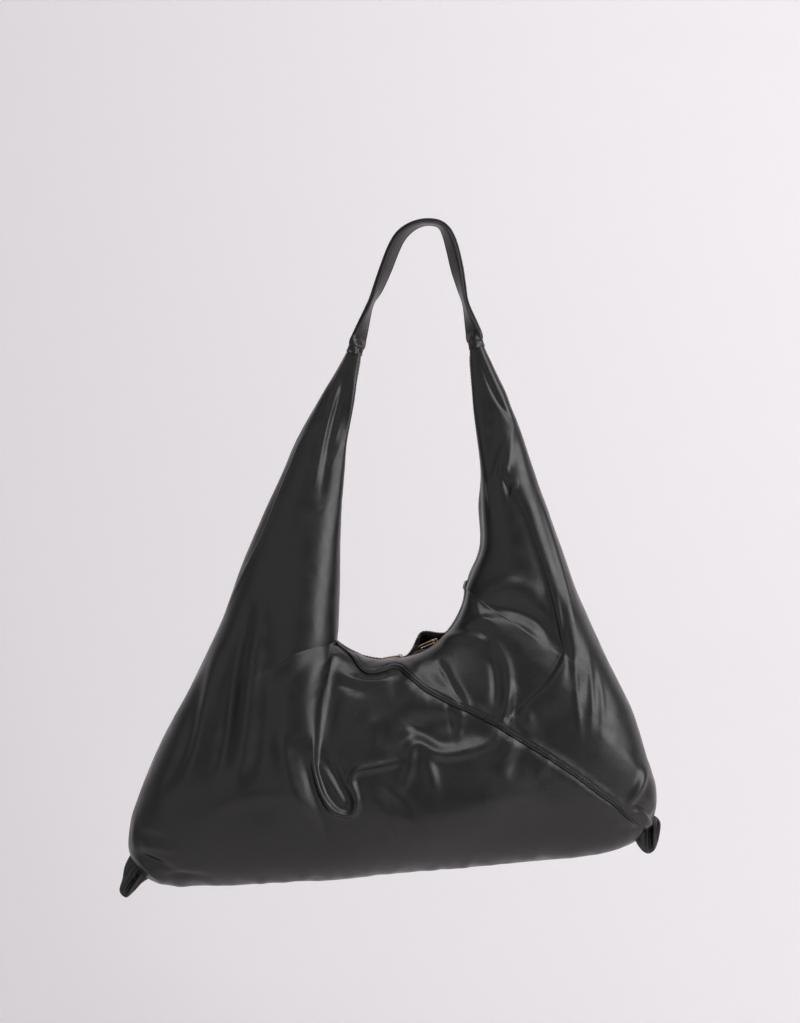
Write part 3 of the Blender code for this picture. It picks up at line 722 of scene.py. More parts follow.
frontFolds = [
    # The left arm's rolled fold, which laps over the belly and ends in a U
    ("lap", 12, [(-87, -276, 0), (-90, -306, 3), (-92, -331, 6), (-94, -366, 9.5), (-96, -396, 12),
        (-98, -416, 13), (-101, -434, 13.5), (-105, -456, 14), (-110, -476, 14), (-112, -496, 13),
        (-113.5, -516, 11), (-115, -536, 9), (-112, -554, 6), (-104, -576, 3), (-93, -588, 1),
        (-84, -591, 0)]),
    # the U's thin crest
    ("ridge", 3.2, [(-113, -500, 0), (-116, -528, 2.5), (-116, -546, 4), (-111, -566, 5), (-103, -580, 5.5),
        (-94, -588, 5.5), (-84, -591, 5.5), (-77, -588, 5.5), (-74.5, -580, 5), (-75.5, -571, 4.5),
        (-78.5, -562, 4.5), (-79, -553, 4.5), (-74, -547, 4), (-60, -544, 3), (-36, -539, 2),
        (-12, -531, 0)]),
    # ribs inside the U
    ("ridge", 3, [(-112, -536, 0), (-106, -549, 3), (-98, -562, 3.5), (-90, -575, 3), (-86, -583, 0)]),
    ("ridge", 3, [(-106, -536, 0), (-98, -548, -3), (-91, -561, -3.5), (-84, -575, -3), (-81, -582, 0)]),
    ("ridge", 5, [(-98, -528, 0), (-89, -545, 2), (-84, -561, 2), (-81, -574, 0)]),
    # broad light ridge down the left arm
    ("ridge", 22, [(-91, -196, 0), (-106, -246, 1.5), (-116, -296, 2.5), (-122, -346, 3), (-126, -396, 3),
        (-128, -436, 1.5), (-133, -486, 0)]),
    # its upper creases
    ("ridge", 3, [(-91, -156, 0), (-97, -176, 1.5), (-104, -201, 1.5), (-112, -236, 1.2), (-121, -276, 0)]),
    ("ridge", 4, [(-86, -146, 0), (-92, -176, -1.5), (-99, -206, -2), (-106, -246, -1.5), (-112, -286, 0)]),
    ("ridge", 2.5, [(-76, -146, 0), (-80, -186, 1.2), (-84, -226, 1.2), (-86, -276, 0)]),
    ("ridge", 2.5, [(-91, -196, 0), (-97, -216, 1), (-104, -226, 0)]),
    ("ridge", 2.5, [(-89, -218, 0), (-97, -236, 1), (-106, -246, 0)]),
    ("ridge", 2.5, [(-97, -276, 0), (-107, -286, 1), (-117, -291, 0)]),
    # hanging folds of the left side, ridge and hollow by turns
    ("ridge", 9, [(-178, -366, 0), (-186, -406, -3), (-194, -436, -4.5), (-201, -476, -5.5),
        (-206, -511, -5.5),
        (-212, -541, -4), (-223, -566, 0)]),
    ("ridge", 8, [(-219, -426, 0), (-228, -456, -2.5), (-237, -491, -3), (-245, -521, -3),
        (-253, -541, 0)]),
    ("ridge", 7, [(-246, -526, 0), (-259, -551, -2), (-271, -571, 0)]),
    ("ridge", 9, [(-166, -366, 0), (-172, -401, 3), (-180, -456, 5), (-185, -506, 5), (-190, -541, 3.5),
        (-198, -571, 0)]),
    ("ridge", 10, [(-146, -396, 0), (-156, -446, -2), (-163, -496, -3), (-168, -536, -2.5), (-172, -566, 0)]),
    ("ridge", 7, [(-209, -416, 0), (-218, -441, 2.5), (-226, -476, 3), (-232, -511, 3), (-241, -546, 2),
        (-249, -566, 0)]),
    # hollow and swell beside the U
    ("ridge", 6, [(-135, -511, 0), (-130, -526, -3), (-123, -544, -4.5), (-117, -564, -4.5),
        (-111, -582, -4), (-105, -602, -2.5), (-101, -621, 0)]),
    ("ridge", 7, [(-152, -506, 0), (-147, -531, 4), (-141, -556, 4), (-133, -576, 3), (-121, -596, 0)]),
    ("ridge", 5, [(-134, -516, 0), (-130, -531, 1.5), (-124, -546, 0)]),
    # crest of the lower left
    ("ridge", 12, [(-241, -598, 0), (-216, -581, 1.5), (-186, -571, 2.5), (-156, -570, 2.5),
        (-131, -582, 1.5), (-113, -604, 0)]),
    # side seam of the left arm, where the back panel comes round
    ("ridge", 1.3, [(-85, -134, 0), (-91, -146, 0.8), (-100, -166, 0.9), (-108, -190, 0.9),
        (-120, -204, 0.6), (-131, -217, 0.6), (-140, -241, 0.9), (-148, -261, 0.9), (-159, -289, 0.9),
        (-169, -314, 0.9), (-181, -338, 0.9), (-191, -358, 0.9), (-201, -379, 0.7), (-207, -393, 0)]),
    # belly, under the diagonal seam
    ("ridge", 4, [(-93, -444, 0), (-81, -454, 2), (-63, -458, 2.5), (-47, -456, 2), (-35, -449, 0)]),
    ("ridge", 8, [(-104, -446, 0), (-98, -466, -2.5), (-101, -486, -3.5), (-104, -506, -2.5),
        (-106, -526, 0)]),
    ("ridge", 5, [(-98, -454, 0), (-84, -461, -2), (-66, -466, -1.5), (-46, -464, 0)]),
    ("ridge", 12, [(-76, -496, 0), (-61, -501, 2), (-46, -506, 0)]),
    ("ridge", 7, [(-31, -481, 0), (-19, -498, -2.5), (-6, -511, -3), (9, -518, -2.5), (24, -516, -2),
        (39, -508, 0)]),
    ("ridge", 30, [(-86, -586, 0), (-51, -592, 5), (-11, -596, 10), (29, -588, 10), (69, -572, 7),
        (109, -556, 0)]),
    ("ridge", 13, [(-56, -516, 0), (-33, -513, -4), (-9, -503, -5), (19, -501, -5), (44, -504, -4),
        (66, -506, 0)]),
    ("ridge", 6, [(-25, -536, 0), (-21, -524, 2.5), (-11, -519, 3), (5, -528, 3.5), (21, -530, 3),
        (41, -526, 3),
        (58, -519, 2.5), (70, -508, 0)]),
    ("ridge", 6, [(-16, -524, 0), (-21, -541, 2.5), (-26, -556, 2), (-34, -571, 0)]),
    ("ridge", 7, [(-9, -526, 0), (-3, -543, 3), (1, -558, 2.5), (3, -576, 0)]),
    ("ridge", 6, [(87, -514, 0), (81, -521, 2.5), (74, -532, 2.5), (65, -546, 0)]),
    ("ridge", 5, [(97, -520, 0), (90, -532, -1.5), (84, -544, -1.5), (77, -556, 0)]),
    ("ridge", 4, [(121, -532, 0), (114, -541, 1.6), (110, -548, 1), (105, -556, 0)]),
    ("ridge", 8, [(-69, -559, 0), (-56, -576, 2), (-41, -598, 2), (-31, -616, 0)]),
    ("ridge", 7, [(-56, -554, 0), (-39, -566, -2), (-23, -582, -2), (-13, -601, 0)]),
    ("ridge", 3.5, [(15, -476, 0), (18, -488, -1.4), (21, -500, -1), (23, -514, 0)]),
    ("ridge", 4, [(29, -482, 0), (30, -494, 1.6), (28, -508, 1.2), (26, -520, 0)]),
    # right arm: the long knee fold
    ("lap", 6, [(75, -500, 0), (86, -489, 2), (97, -476, 3), (112, -462, 4), (125, -444, 5),
        (132, -428, 6), (129, -411, 6), (122, -381, 5.5), (114, -351, 5), (104, -321, 4), (94, -291, 3),
        (84, -268, 1.5), (74, -246, 0)]),
    ("ridge", 8, [(47, -386, 0), (61, -384, -3), (79, -385, -6), (97, -391, -6.5), (110, -400, -5.5),
        (119, -414, -3), (123, -426, 0)]),
    ("ridge", 9, [(47, -376, 0), (61, -366, 3), (79, -362, 4.5), (97, -366, 3), (111, -374, 0)]),
    # folds that fan out from the right end of the mouth
    ("ridge", 5, [(7, -417, 0), (19, -413, 2), (34, -412, 2.5), (49, -416, 2.5), (59, -426, 0)]),
    ("ridge", 6, [(76, -490, 0), (77, -476, 2.5), (77, -458, 3), (75, -441, 3), (69, -426, 2), (59, -416, 1),
        (43, -412, 0)]),
    ("ridge", 5, [(64, -488, 0), (65, -474, -2), (65, -458, -2.5), (63, -443, -2), (58, -431, 0)]),
    ("ridge", 4, [(5, -436, 0), (13, -446, -2.5), (21, -459, -3), (29, -473, -2.5), (35, -482, 0)]),
    ("ridge", 4, [(15, -444, 0), (25, -460, 1.8), (33, -474, 1.8), (39, -484, 0)]),
    ("ridge", 5, [(81, -456, 0), (76, -476, 3), (72, -494, 3), (69, -503, 0)]),
    ("ridge", 4, [(86, -466, 0), (85, -488, -2), (89, -506, 0)]),
    ("ridge", 6, [(99, -484, 0), (97, -498, 2.5), (101, -516, 0)]),
    ("ridge", 4, [(31, -404, 0), (41, -398, 2), (53, -395, 2.5), (65, -398, 0)]),
    # fine hanging folds on the right
    ("ridge", 3, [(125, -366, 0), (131, -391, -1.5), (135, -421, -2), (137, -441, -1.5), (135, -466, 0)]),
    ("ridge", 2.5, [(140, -426, 0), (144, -456, 1.3), (147, -491, 1.3), (150, -521, 0)]),
    ("ridge", 2.5, [(155, -421, 0), (160, -456, 1.3), (161, -486, 1.3), (159, -514, 0)]),
    ("ridge", 2.5, [(167, -446, 0), (171, -476, 1), (171, -516, 0)]),
    ("ridge", 2.5, [(104, -264, 0), (114, -296, 1.2), (125, -336, 1.5), (134, -371, 1.2), (144, -416, 0)]),
    ("ridge", 2.5, [(117, -296, 0), (125, -321, 1), (135, -356, 1), (143, -381, 0)]),
    # creases of the right arm's upper half
    ("ridge", 2.5, [(45, -121, 0), (51, -141, -1), (61, -166, -1.5), (72, -184, -1.5), (83, -197, 0)]),
    ("ridge", 6, [(49, -128, 0), (61, -151, 1.5), (71, -168, 1.5), (79, -184, 0)]),
    ("ridge", 2.5, [(85, -191, 0), (79, -211, 2), (72, -226, 2), (65, -243, 1.5), (60, -258, 0)]),
    ("ridge", 3.5, [(83, -208, 0), (79, -226, 2.5), (75, -244, 2.5), (71, -258, 0)]),
    ("ridge", 3, [(69, -246, 0), (74, -258, -2), (78, -270, -2), (78, -282, 0)]),
    ("ridge", 2.5, [(93, -250, 0), (84, -261, 1.8), (80, -273, 1.5), (78, -288, 0)]),
    ("ridge", 2, [(56, -254, 0), (58, -268, 1.5), (60, -283, 1), (62, -301, 0)]),
    ("ridge", 7, [(59, -171, 0), (62, -201, -2), (61, -231, -2), (59, -256, 0)]),
    # both corners, drawn in by their tabs
    ("ridge", 4, [(217, -536, 0), (211, -559, 3.5), (202, -576, 3), (197, -584, 0)]),
    ("ridge", 4, [(199, -578, 0), (209, -582, -4), (221, -590, -4.5), (229, -600, 0)]),
    ("ridge", 3, [(200, -590, 0), (210, -588, 2.5), (219, -598, 2.5), (226, -606, 0)]),
    ("ridge", 3, [(185, -604, 0), (196, -604, -2), (206, -606, -2.5), (215, -610, 0)]),
    ("ridge", 3, [(-295, -634, 0), (-287, -641, 4), (-276, -650, 4.5), (-266, -660, 0)]),
    ("ridge", 3, [(-296, -628, 0), (-286, -634, -4), (-272, -640, -3.5), (-254, -648, 0)]),
    ("ridge", 4, [(-292, -622, 0), (-280, -622, 2.5), (-266, -624, 3), (-250, -628, 0)]),
    ("ridge", 3.5, [(-294, -612, 0), (-283, -611, -2), (-271, -616, -2.5), (-258, -622, 0)]),
    ("ridge", 2.5, [(-295, -586, 0), (-297, -606, 1.5), (-296, -621, 1.5), (-291, -632, 0)]),
    ("ridge", 3, [(-270, -655, 0), (-256, -651, -2), (-236, -652, -1.5), (-216, -655, 0)]),
]
backFolds = [
    # both arms' long soft folds
    ("ridge", 14, [(-88, -190, 0), (-112, -250, 3), (-140, -330, 4), (-168, -420, 3.5), (-190, -510, 0)]),
    ("ridge", 8, [(-118, -270, 0), (-152, -350, -3), (-188, -440, -3.5), (-222, -540, 0)]),
    ("ridge", 9, [(-98, -310, 0), (-112, -380, 4), (-122, -450, 4.5), (-136, -530, 0)]),
    ("ridge", 6, [(-104, -330, 0), (-128, -400, -2.5), (-150, -470, -3), (-165, -530, 0)]),
    ("ridge", 10, [(60, -190, 0), (86, -262, 3.5), (116, -350, 4.5), (142, -440, 3.5), (158, -530, 0)]),
    ("ridge", 6, [(58, -240, 0), (76, -310, -3), (100, -400, -3.5), (118, -480, 0)]),
    # creases fanning out under the mouth
    ("ridge", 6, [(46, -415, 0), (80, -446, 3.5), (118, -496, 3), (150, -560, 0)]),
    ("ridge", 5, [(40, -425, 0), (66, -462, -3), (92, -510, -2.5), (112, -566, 0)]),
    ("ridge", 7, [(22, -448, 0), (34, -490, 3), (52, -536, 2.5), (60, -590, 0)]),
    ("ridge", 5, [(4, -462, 0), (8, -500, -2.5), (18, -545, -2), (20, -590, 0)]),
    ("ridge", 7, [(-94, -428, 0), (-100, -470, 3.5), (-90, -516, 2.5), (-66, -570, 0)]),
    ("ridge", 5, [(-84, -436, 0), (-84, -480, -2.5), (-68, -526, -2.5), (-44, -570, 0)]),
    # the weight of what is inside
    ("ridge", 14, [(-205, -590, 0), (-120, -612, 3), (-20, -616, 3.5), (90, -604, 2.5), (165, -585, 0)]),
    ("ridge", 5, [(-255, -625, 0), (-225, -600, 3), (-195, -585, 2), (-160, -580, 0)]),
    ("ridge", 5, [(205, -600, 0), (185, -570, 3), (170, -535, 2), (160, -500, 0)]),
]
folds = {front: frontFolds, back: backFolds}


leatherLook = {
    "thick": 1.2,
    "refined": 7,         # the mesh is finer this near to a seam or lap
    "sag": 1.8,           # loose, broad unevenness, over 80 mm
    "sagSize": 80,
    "dent": 0.4,
    "dentSize": 26,
    "rippleSize": 7,      # gathers of the sewn edges
    "gather": 1.6,        # and of the bottom
    "gatherSize": 10,
    "bottom": -560,
    "tips": -124,         # nothing is pushed out at the arms' ends, which the collars hold
    "tipFade": 16,
    "hemHeight": 0.8,
    "hemWidth": 3,
    "hemStitch": 3.6,
}


def foldHeights(places, foldList):
    total = np.zeros(len(places))
    for profile, width, points in foldList:
        line = smoothLine(points, 6)
        reach = lapLook["reach"] if profile == "lap" else width * 3
        low, high = line[:, :2].min(0) - reach, line[:, :2].max(0) + reach
        near = np.all((places > low) & (places < high), axis=1)
        distance, height = nearLine(places[near], line)
        total[near] += profiles[profile](distance, height, width)
    return total


def noiseAt(places, spacing, seed=0):
    return np.array([noise.noise(Vector((x + seed, y, z))) for x, y, z in places / spacing])


def evened(mesh, values, rounds):
    # Each point's value drawn towards its neighbours'
    edges = np.zeros(len(mesh.edges) * 2, int)
    mesh.edges.foreach_get("vertices", edges)
    a, b = edges.reshape(-1, 2).T
    count = np.bincount(a, minlength=len(values)) + np.bincount(b, minlength=len(values))
    for _ in range(rounds):
        total = np.bincount(a, values[b], len(values)) + np.bincount(b, values[a], len(values))
        values = (values + total / np.maximum(count, 1)) / 2
    return values


def underSeam(places, flat, fromSeam, side):
    # The lower panel's edge drawn on behind the upper one
    close = fromSeam < seamLook["overlapFrom"]
    line = smoothLine(seamLines[side], 8)
    here, _ = nearLine(flat[close], line)
    slope = [(nearLine(flat[close] + step, line)[0] - here) / 0.5 for step in ((0.5, 0), (0, 0.5))]
    reach = 1 - softStep(fromSeam[close] / seamLook["overlapFrom"])
    reach = seamLook["overlap"] * reach * upperSign[side]
    places[close, 0] += slope[0] * reach
    places[close, 2] += slope[1] * reach
    return places


def sculpt(made, side, upper):
    # Push the cut leather in and out along its own normals
    mesh = made.data
    places = vertexPlaces(mesh)
    flat = flatPlaces(places, side)
    fromSeam = np.abs(readAttribute(mesh, "fromSeam"))
    fromRim = readAttribute(mesh, "fromRim")
    turn = readAttribute(mesh, "turn")
    tips = softStep((leatherLook["tips"] - places[:, 2]) / leatherLook["tipFade"])
    hold = softStep(fromRim / 9) * softStep((1 - turn) / 0.05) * tips
    height = foldHeights(flat, folds[side])
    look = leatherLook
    height += look["sag"] * noiseAt(places, look["sagSize"], side * 7)
    height += look["dent"] * noiseAt(places, look["dentSize"], side * 11)
    # gathers along the seam and along the bottom
    ripple = noiseAt(places, look["rippleSize"], side * 3)
    height += seamLook["pucker"] * ripple * np.exp(-fromSeam / 9)
    bottom = hump(turn - 0.90, 0.07) * softStep((look["bottom"] - places[:, 2]) / 40)
    height += look["gather"] * bottom * noiseAt(places * np.array([1, 0.3, 0.3]), look["gatherSize"], 5)
    height = evened(mesh, height, 3) * hold
    if upper:
        raised = seamLook["raise"] * (1 - softStep((fromSeam - seamLook["groove"]) / seamLook["raiseWidth"]))
        height += evened(mesh, raised, 8) * tips
    height += (upperEdge if upper else lowerEdge)(fromSeam) * softStep(fromRim / 5) * tips
    # the mouth's edge is turned in and stitched down
    hem = look["hemHeight"] * (1 - softStep((fromRim - look["hemWidth"]) / 6))
    hem -= 0.5 * hump(fromRim - look["hemStitch"], 0.9)
    height += hem * tips * softStep(fromRim / 2)
    places = places + vertexNormals(mesh) * height[:, None]
    setPlaces(mesh, places if upper else underSeam(places, flat, fromSeam, side))


def refine(mesh, side):
    # One more cut where folds are sharp
    places = np.array([vert.co for vert in mesh.verts]) / millimetre
    flat = flatPlaces(places, side)
    fromSeam = mesh.verts.layers.float["fromSeam"]
    close = np.array([abs(vert[fromSeam]) < leatherLook["refined"] for vert in mesh.verts])
    for profile, _, points in folds[side]:
        if profile == "lap":
            distance, _ = nearLine(flat, smoothLine(points, 6))
            close |= np.abs(distance) < leatherLook["refined"]
    edges = [edge for edge in mesh.edges if close[edge.verts[0].index] and close[edge.verts[1].index]]
    bmesh.ops.subdivide_edges(mesh, edges=edges, cuts=1, use_grid_fill=True)


def cutAtSeam(mesh):
    # New points where edges cross the seam, then a cut through each face between two of them
    layer = mesh.verts.layers.float["fromSeam"]
    for vert in mesh.verts:
        if abs(vert[layer]) < 0.08:
            vert[layer] = 0
    crossing = [edge for edge in mesh.edges if edge.verts[0][layer] * edge.verts[1][layer] < 0]
    for edge in crossing:
        a, b = edge.verts
        share = a[layer] / (a[layer] - b[layer])
        _, vert = bmesh.utils.edge_split(edge, a, share)
        vert[layer] = 0
    onSeam = [vert for vert in mesh.verts if vert[layer] == 0]
    for face in {face for vert in onSeam for face in vert.link_faces}:
        ends = [vert for vert in face.verts if vert[layer] == 0]
        if len(ends) == 2 and not any(ends[1] in edge.verts for edge in ends[0].link_edges):
            bmesh.utils.face_split(face, ends[0], ends[1])


def makeLeather(side, coarse, names):
    # One face of the body, cut along its seam into an upper and a lower panel
    grid, turn = loftFace(side, coarse)
    made = gridPiece("leather", grid, nappa)
    faceOutward(made, side)
    setAttribute(made.data, "fromRim", rimDistance(grid).T)
    setAttribute(made.data, "turn", turn.T)
    flat = flatPlaces(grid, side).transpose(1, 0, 2).reshape(-1, 2)
    signed, _ = nearLine(flat, smoothLine(seamLines[side], 8))
    setAttribute(made.data, "fromSeam", signed)
    mesh = bmesh.new()
    mesh.from_mesh(made.data)
    refine(mesh, side)
    cutAtSeam(mesh)
    mesh.to_mesh(made.data)
    panels = []
    for upper, name in zip((True, False), names):
        panel = made.data.copy()
        panel.name = name
        half = bmesh.new()
        half.from_mesh(panel)
        layer = half.verts.layers.float["fromSeam"]
        sign = upperSign[side] * (1 if upper else -1)
        wrong = [face for face in half.faces if sum(vert[layer] for vert in face.verts) * sign <= 0]
        bmesh.ops.delete(half, geom=wrong, context="FACES")
        half.to_mesh(panel)
        half.free()
        piece = newObject(name, panel, nappa)
        sculpt(piece, side, upper)
        thicken(piece, leatherLook["thick"], -1, 60, rimOnly=True)
        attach(piece, "bag")
        panels.append(piece)
    mesh.free()
    bpy.data.objects.remove(made)
    return panels


frontRight, frontLeft = makeLeather(front, 1, ("frontRightLeather", "frontLeftLeather"))
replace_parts(frontRight, "front_right_panel")
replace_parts(frontLeft, "front_left_panel")
backLeft, backRight = makeLeather(back, 2, ("backLeftLeather", "backRightLeather"))
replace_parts(backLeft, "back_left_panel")
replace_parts(backRight, "back_right_panel")
panels = (frontRight, frontLeft, backLeft, backRight)
print("leather panels made:", [len(piece.data.polygons) for piece in panels])


# Linings: the same loft, hung inside the leather

liningLook = {"gap": 2.2, "slack": 6, "slackFrom": 25, "thick": 0.5, "ruffle": 0.12, "ruffleSize": 22}


def makeLining(name, side):
    grid, _ = loftFace(side, 5)
    fromRim = rimDistance(grid)
    made = gridPiece(name, grid, liningDrill)
    faceOutward(made, side)
    gap = liningLook["gap"] + liningLook["slack"] * softStep(fromRim / liningLook["slackFrom"])
    gap = gap * softStep((1 - np.linspace(0, 1, grid.shape[1])) / 0.02)[None, :]
    places = vertexPlaces(made.data)
    ruffle = 1 + liningLook["ruffle"] * noiseAt(places, liningLook["ruffleSize"], 4)
    places -= vertexNormals(made.data) * (gap.transpose(1, 0).ravel() * ruffle)[:, None]
    setPlaces(made.data, places)
    made.data.flip_normals()
    thicken(made, liningLook["thick"], 0, 60)
    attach(made, "bag")
    return made


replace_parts(makeLining("frontLining", front), "front_lining")
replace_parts(makeLining("backLining", back), "back_lining")
print("linings made")


# Places on the finished leather: seen from the photograph's eye in front, straight on from behind

depsgraph = bpy.context.evaluated_depsgraph_get()
leatherTrees = {front: [BVHTree.FromObject(piece, depsgraph) for piece in (frontRight, frontLeft)],
                back: [BVHTree.FromObject(piece, depsgraph) for piece in (backLeft, backRight)]}


def onLeather(side, point):
    eye = Vector(photoView["place"]) if side == front else Vector((point[0], 400, point[1]))
    towards = (Vector((point[0], 0, point[1])) - eye).normalized()
    hits = [tree.ray_cast(eye * millimetre, towards) for tree in leatherTrees[side]]
    hits = [hit for hit in hits if hit[0] is not None]
    if not hits:
        return None
    place, normal, _, _ = min(hits, key=lambda hit: hit[3])
    return np.array(place) / millimetre, np.array(normal if normal.dot(towards) < 0 else -normal)


def nearLeather(side, point):
    found = [tree.find_nearest(mm(*point)) for tree in leatherTrees[side]]
    place, normal, _, _ = min(found, key=lambda hit: hit[3])
    return np.array(place) / millimetre, np.array(normal)


def lineLength(points):
    fine = smoothLine(points, 20)[:, :2]
    return np.linalg.norm(np.diff(fine, axis=0), axis=1).sum()


def shiftLine(line, distance):
    return line + rightOf(unit(np.gradient(line, axis=0))) * distance


# Seam cords: a thin leather welt in each diagonal seam

seamKeys = {front: seamLines[front][7:], back: seamLines[back][4:]}


def seamSpots(side, shifts, step):
    # Places on the leather beside the seam; a place counts only where the leather is met at each shift
    points = seamKeys[side]
    line = evenLine(points, int(lineLength(points) / step) + 1)
    rows = zip(*[shiftLine(line, shift * upperSign[side]) for shift in shifts])
    found = [[onLeather(side, point) for point in row] for row in rows]
    found = [row for row in found if all(hit is not None for hit in row)]
    return np.array([[hit[0] for hit in row] for row in found]), np.array([row[0][1] for row in found])


def tubeAlong(name, path, out, radius, material):
    run = unit(np.gradient(path, axis=0))
    across = unit(np.cross(out, run))
    up = np.cross(run, across)
    turns = np.linspace(0, 2 * np.pi, seamLook["cordSides"], endpoint=False)
    spokes = np.cos(turns)[None, :, None] * up[:, None] + np.sin(turns)[None, :, None] * across[:, None]
    rings = path[:, None] + radius * spokes
    made = tubeRings(name, rings, material)
    made.data.shade_smooth()
    return made


def makeSeamCord(side, name, node):
    # between the two panels' edges, at the mean of their levels, with the bumps smoothed out
    look = seamLook
    pairs, out = seamSpots(side, (look["cordReach"], -look["cordReach"]), look["cordStep"])
    path = pairs.mean(axis=1)
    for _ in range(2):
        path[1:-1] = (path[:-2] + 2 * path[1:-1] + path[2:]) / 4
    made = tubeAlong(name, path + out * look["cordOut"], out, look["cordRadius"], nappa)
    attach(made, "bag")
    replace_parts(made, node)


makeSeamCord(front, "frontSeamCord", "front_seam_piping")
makeSeamCord(back, "backSeamCord", "back_seam_piping")
print("seam cords made")


# Stitches: one thread loop, modelled once

stitchLook = {"length": 2.4, "thick": 0.75, "dip": 0.3, "pitch": 3.4, "lift": 0.12, "fromTip": 12}


def makeStitchShape():
    bpy.ops.object.select_all(action="DESELECT")
    bpy.ops.mesh.primitive_uv_sphere_add(segments=6, ring_count=6, radius=0.5, rotation=(0, math.pi / 2, 0))
    shape = bpy.context.object
    bpy.ops.object.transform_apply(location=False, rotation=True, scale=False)
    size = np.array([stitchLook["length"], stitchLook["thick"], stitchLook["thick"]])
    places = vertexPlaces(shape.data) * millimetre * size
    # both ends go down into their holes
    places[:, 2] -= stitchLook["dip"] * (2 * places[:, 0] / stitchLook["length"]) ** 2
    setPlaces(shape.data, places)
    return shape


stitchShape = makeStitchShape()


def stitchRow(name, spots, out, body="bag"):
    along = np.gradient(spots, axis=0)
    steps = np.linalg.norm(np.diff(spots, axis=0), axis=1)
    # the thread doesn't cross a gap
    near = steps < 3 * stitchLook["pitch"]
    keep = np.append(True, near) & np.append(near, True)
    spots = spots + out * stitchLook["lift"]
    made = copyAlong(name, stitchShape, spots[keep], along[keep], out[keep], stitchThread)
    if body:
        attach(made, body)
    return made


def rimSpots(side, depth):
    # a row along the whole mouth and both arms' inner edges, this far from the edge
    grid, _ = loftFace(side, 2)
    fromRim = rimDistance(grid)
    line = np.array([[np.interp(depth, far, column[:, k]) for k in range(3)]
                     for far, column in zip(fromRim, grid)])
    lengths = lengthsAlong(line)
    places = np.arange(stitchLook["fromTip"], lengths[-1] - stitchLook["fromTip"], stitchLook["pitch"])
    found = [nearLeather(side, point) for point in spotsAt(places, lengths, line)]
    return np.array([hit[0] for hit in found]), np.array([hit[1] for hit in found])


for side, word in ((front, "front"), (back, "back")):
    spots, out = seamSpots(side, (seamLook["groove"],), stitchLook["pitch"])
    stitchRow(word + "SeamStitches", spots[:, 0], out)
    stitchRow(word + "MouthStitches", *rimSpots(side, leatherLook["hemStitch"]))
print("stitches made")


# Zip

zipLook = {
    "level": 2.55,          # middle of the tape below the leather's outer face
    "tape": 0.7,
    "tuck": 2.2,
    "rail": 2.85,
    "tip": 0.55,
    "pitch": 1.7,
    "tooth": 0.95,          # along the chain
    "toothHigh": 1.6,
    "clamp": 1.0,
    "toothSteps": [(1, 0.35, 0.75, 0.8), (1, 0.3, 1.6, 1.1), (1, 0.4, 0.95, 0.95), (1, 0.25, 0.5, 0.6),
                   (-1, 0.2, 0.8, 0.7)],
    "tapeEnd": 0.9,
    "chainFrom": 230.2,
    "chainTo": 352.8,
    "stop": 2.2,
}


def zipPlaces(side, angles, y):
    radians = np.radians(angles)
    radius = mouth["radius"] - riseOf(side, angles)
    line = np.array(mouth["centre"]) + radius[:, None] * np.stack([np.cos(radians), np.sin(radians)], axis=1)
    run = unit(np.gradient(line, axis=0))
    away = rightOf(run)
    line = line + away * zipLook["level"]
    flat = np.zeros(len(line))
    places = np.stack([line[:, 0], side * (y + spreadOf(side, angles)), line[:, 1]], axis=1)
    along, out = (np.stack([flow[:, 0], flat, flow[:, 1]], axis=1) for flow in (run, -away))
    return places, along, out


def makeTape(side, name, node):
    angles = np.linspace(mouth["from"] + zipLook["tapeEnd"], mouth["to"] - zipLook["tapeEnd"], 180)
    inner = np.full(len(angles), zipLook["rail"] + 0.3)
    outer = np.maximum(rimHalfGap(angles), zipLook["rail"]) + zipLook["tuck"]
    rows = [zipPlaces(side, angles, inner + (outer - inner) * share)[0] for share in (0, 0.3, 0.7, 1)]
    made = gridPiece(name, np.stack(rows, axis=1), tapeTwill)
    thicken(made, zipLook["tape"], 0, 30)
    outwards(made)
    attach(made, "bag")
    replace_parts(made, node)


def pullFace(made, towards, distance, size):
    # Extrude the face that lies farthest this way, and size its end
    pick(made)
    towards = Vector(towards)
    bpy.ops.object.mode_set(mode="EDIT")
    bpy.ops.mesh.select_mode(type="FACE")
    bpy.ops.mesh.select_all(action="DESELECT")
    bpy.ops.object.mode_set(mode="OBJECT")
    far = max(made.data.polygons, key=lambda face: face.center.dot(towards))
    far.select = True
    end = far.center + towards * distance
    bpy.ops.object.mode_set(mode="EDIT")
    bpy.ops.mesh.extrude_region_move(TRANSFORM_OT_translate={"value": towards * distance})
    bpy.ops.transform.resize(value=size, center_override=end)
    bpy.ops.object.mode_set(mode="OBJECT")


def makeToothShape():
    # a clamp on the tape's bead, a narrow neck and a round nose; Y points to the middle of the chain
    bpy.ops.object.select_all(action="DESELECT")
    clamp = zipLook["clamp"]
    bpy.ops.mesh.primitive_cube_add(size=1, location=(0, mm(clamp / 2), 0),
                                    scale=mm(zipLook["tooth"] * 0.8, clamp, zipLook["toothHigh"]))
    shape = bpy.context.object
    bpy.ops.object.transform_apply(location=True, rotation=False, scale=True)
    for way, distance, wide, high in zipLook["toothSteps"]:
        pullFace(shape, (0, way, 0), mm(distance), (wide, 1, high))
    return shape


def makeTeeth(side, name, node):
    # each side's teeth stand half a pitch from the other's; y of the clamp's root is the rail
    length = math.radians(zipLook["chainTo"] - zipLook["chainFrom"]) * (mouth["radius"] + zipLook["level"])
    count = int(length / zipLook["pitch"])
    step = (zipLook["chainTo"] - zipLook["chainFrom"]) / count
    angles = zipLook["chainFrom"] + (np.arange(count) + (0.25 if side == front else 0.75)) * step
    spots, along, out = zipPlaces(side, angles, np.full(count, zipLook["rail"] - 0.2))
    made = copyAlong(name, toothShape, spots, along * -side, out, bronze)
    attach(made, "bag")
    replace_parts(made, node)


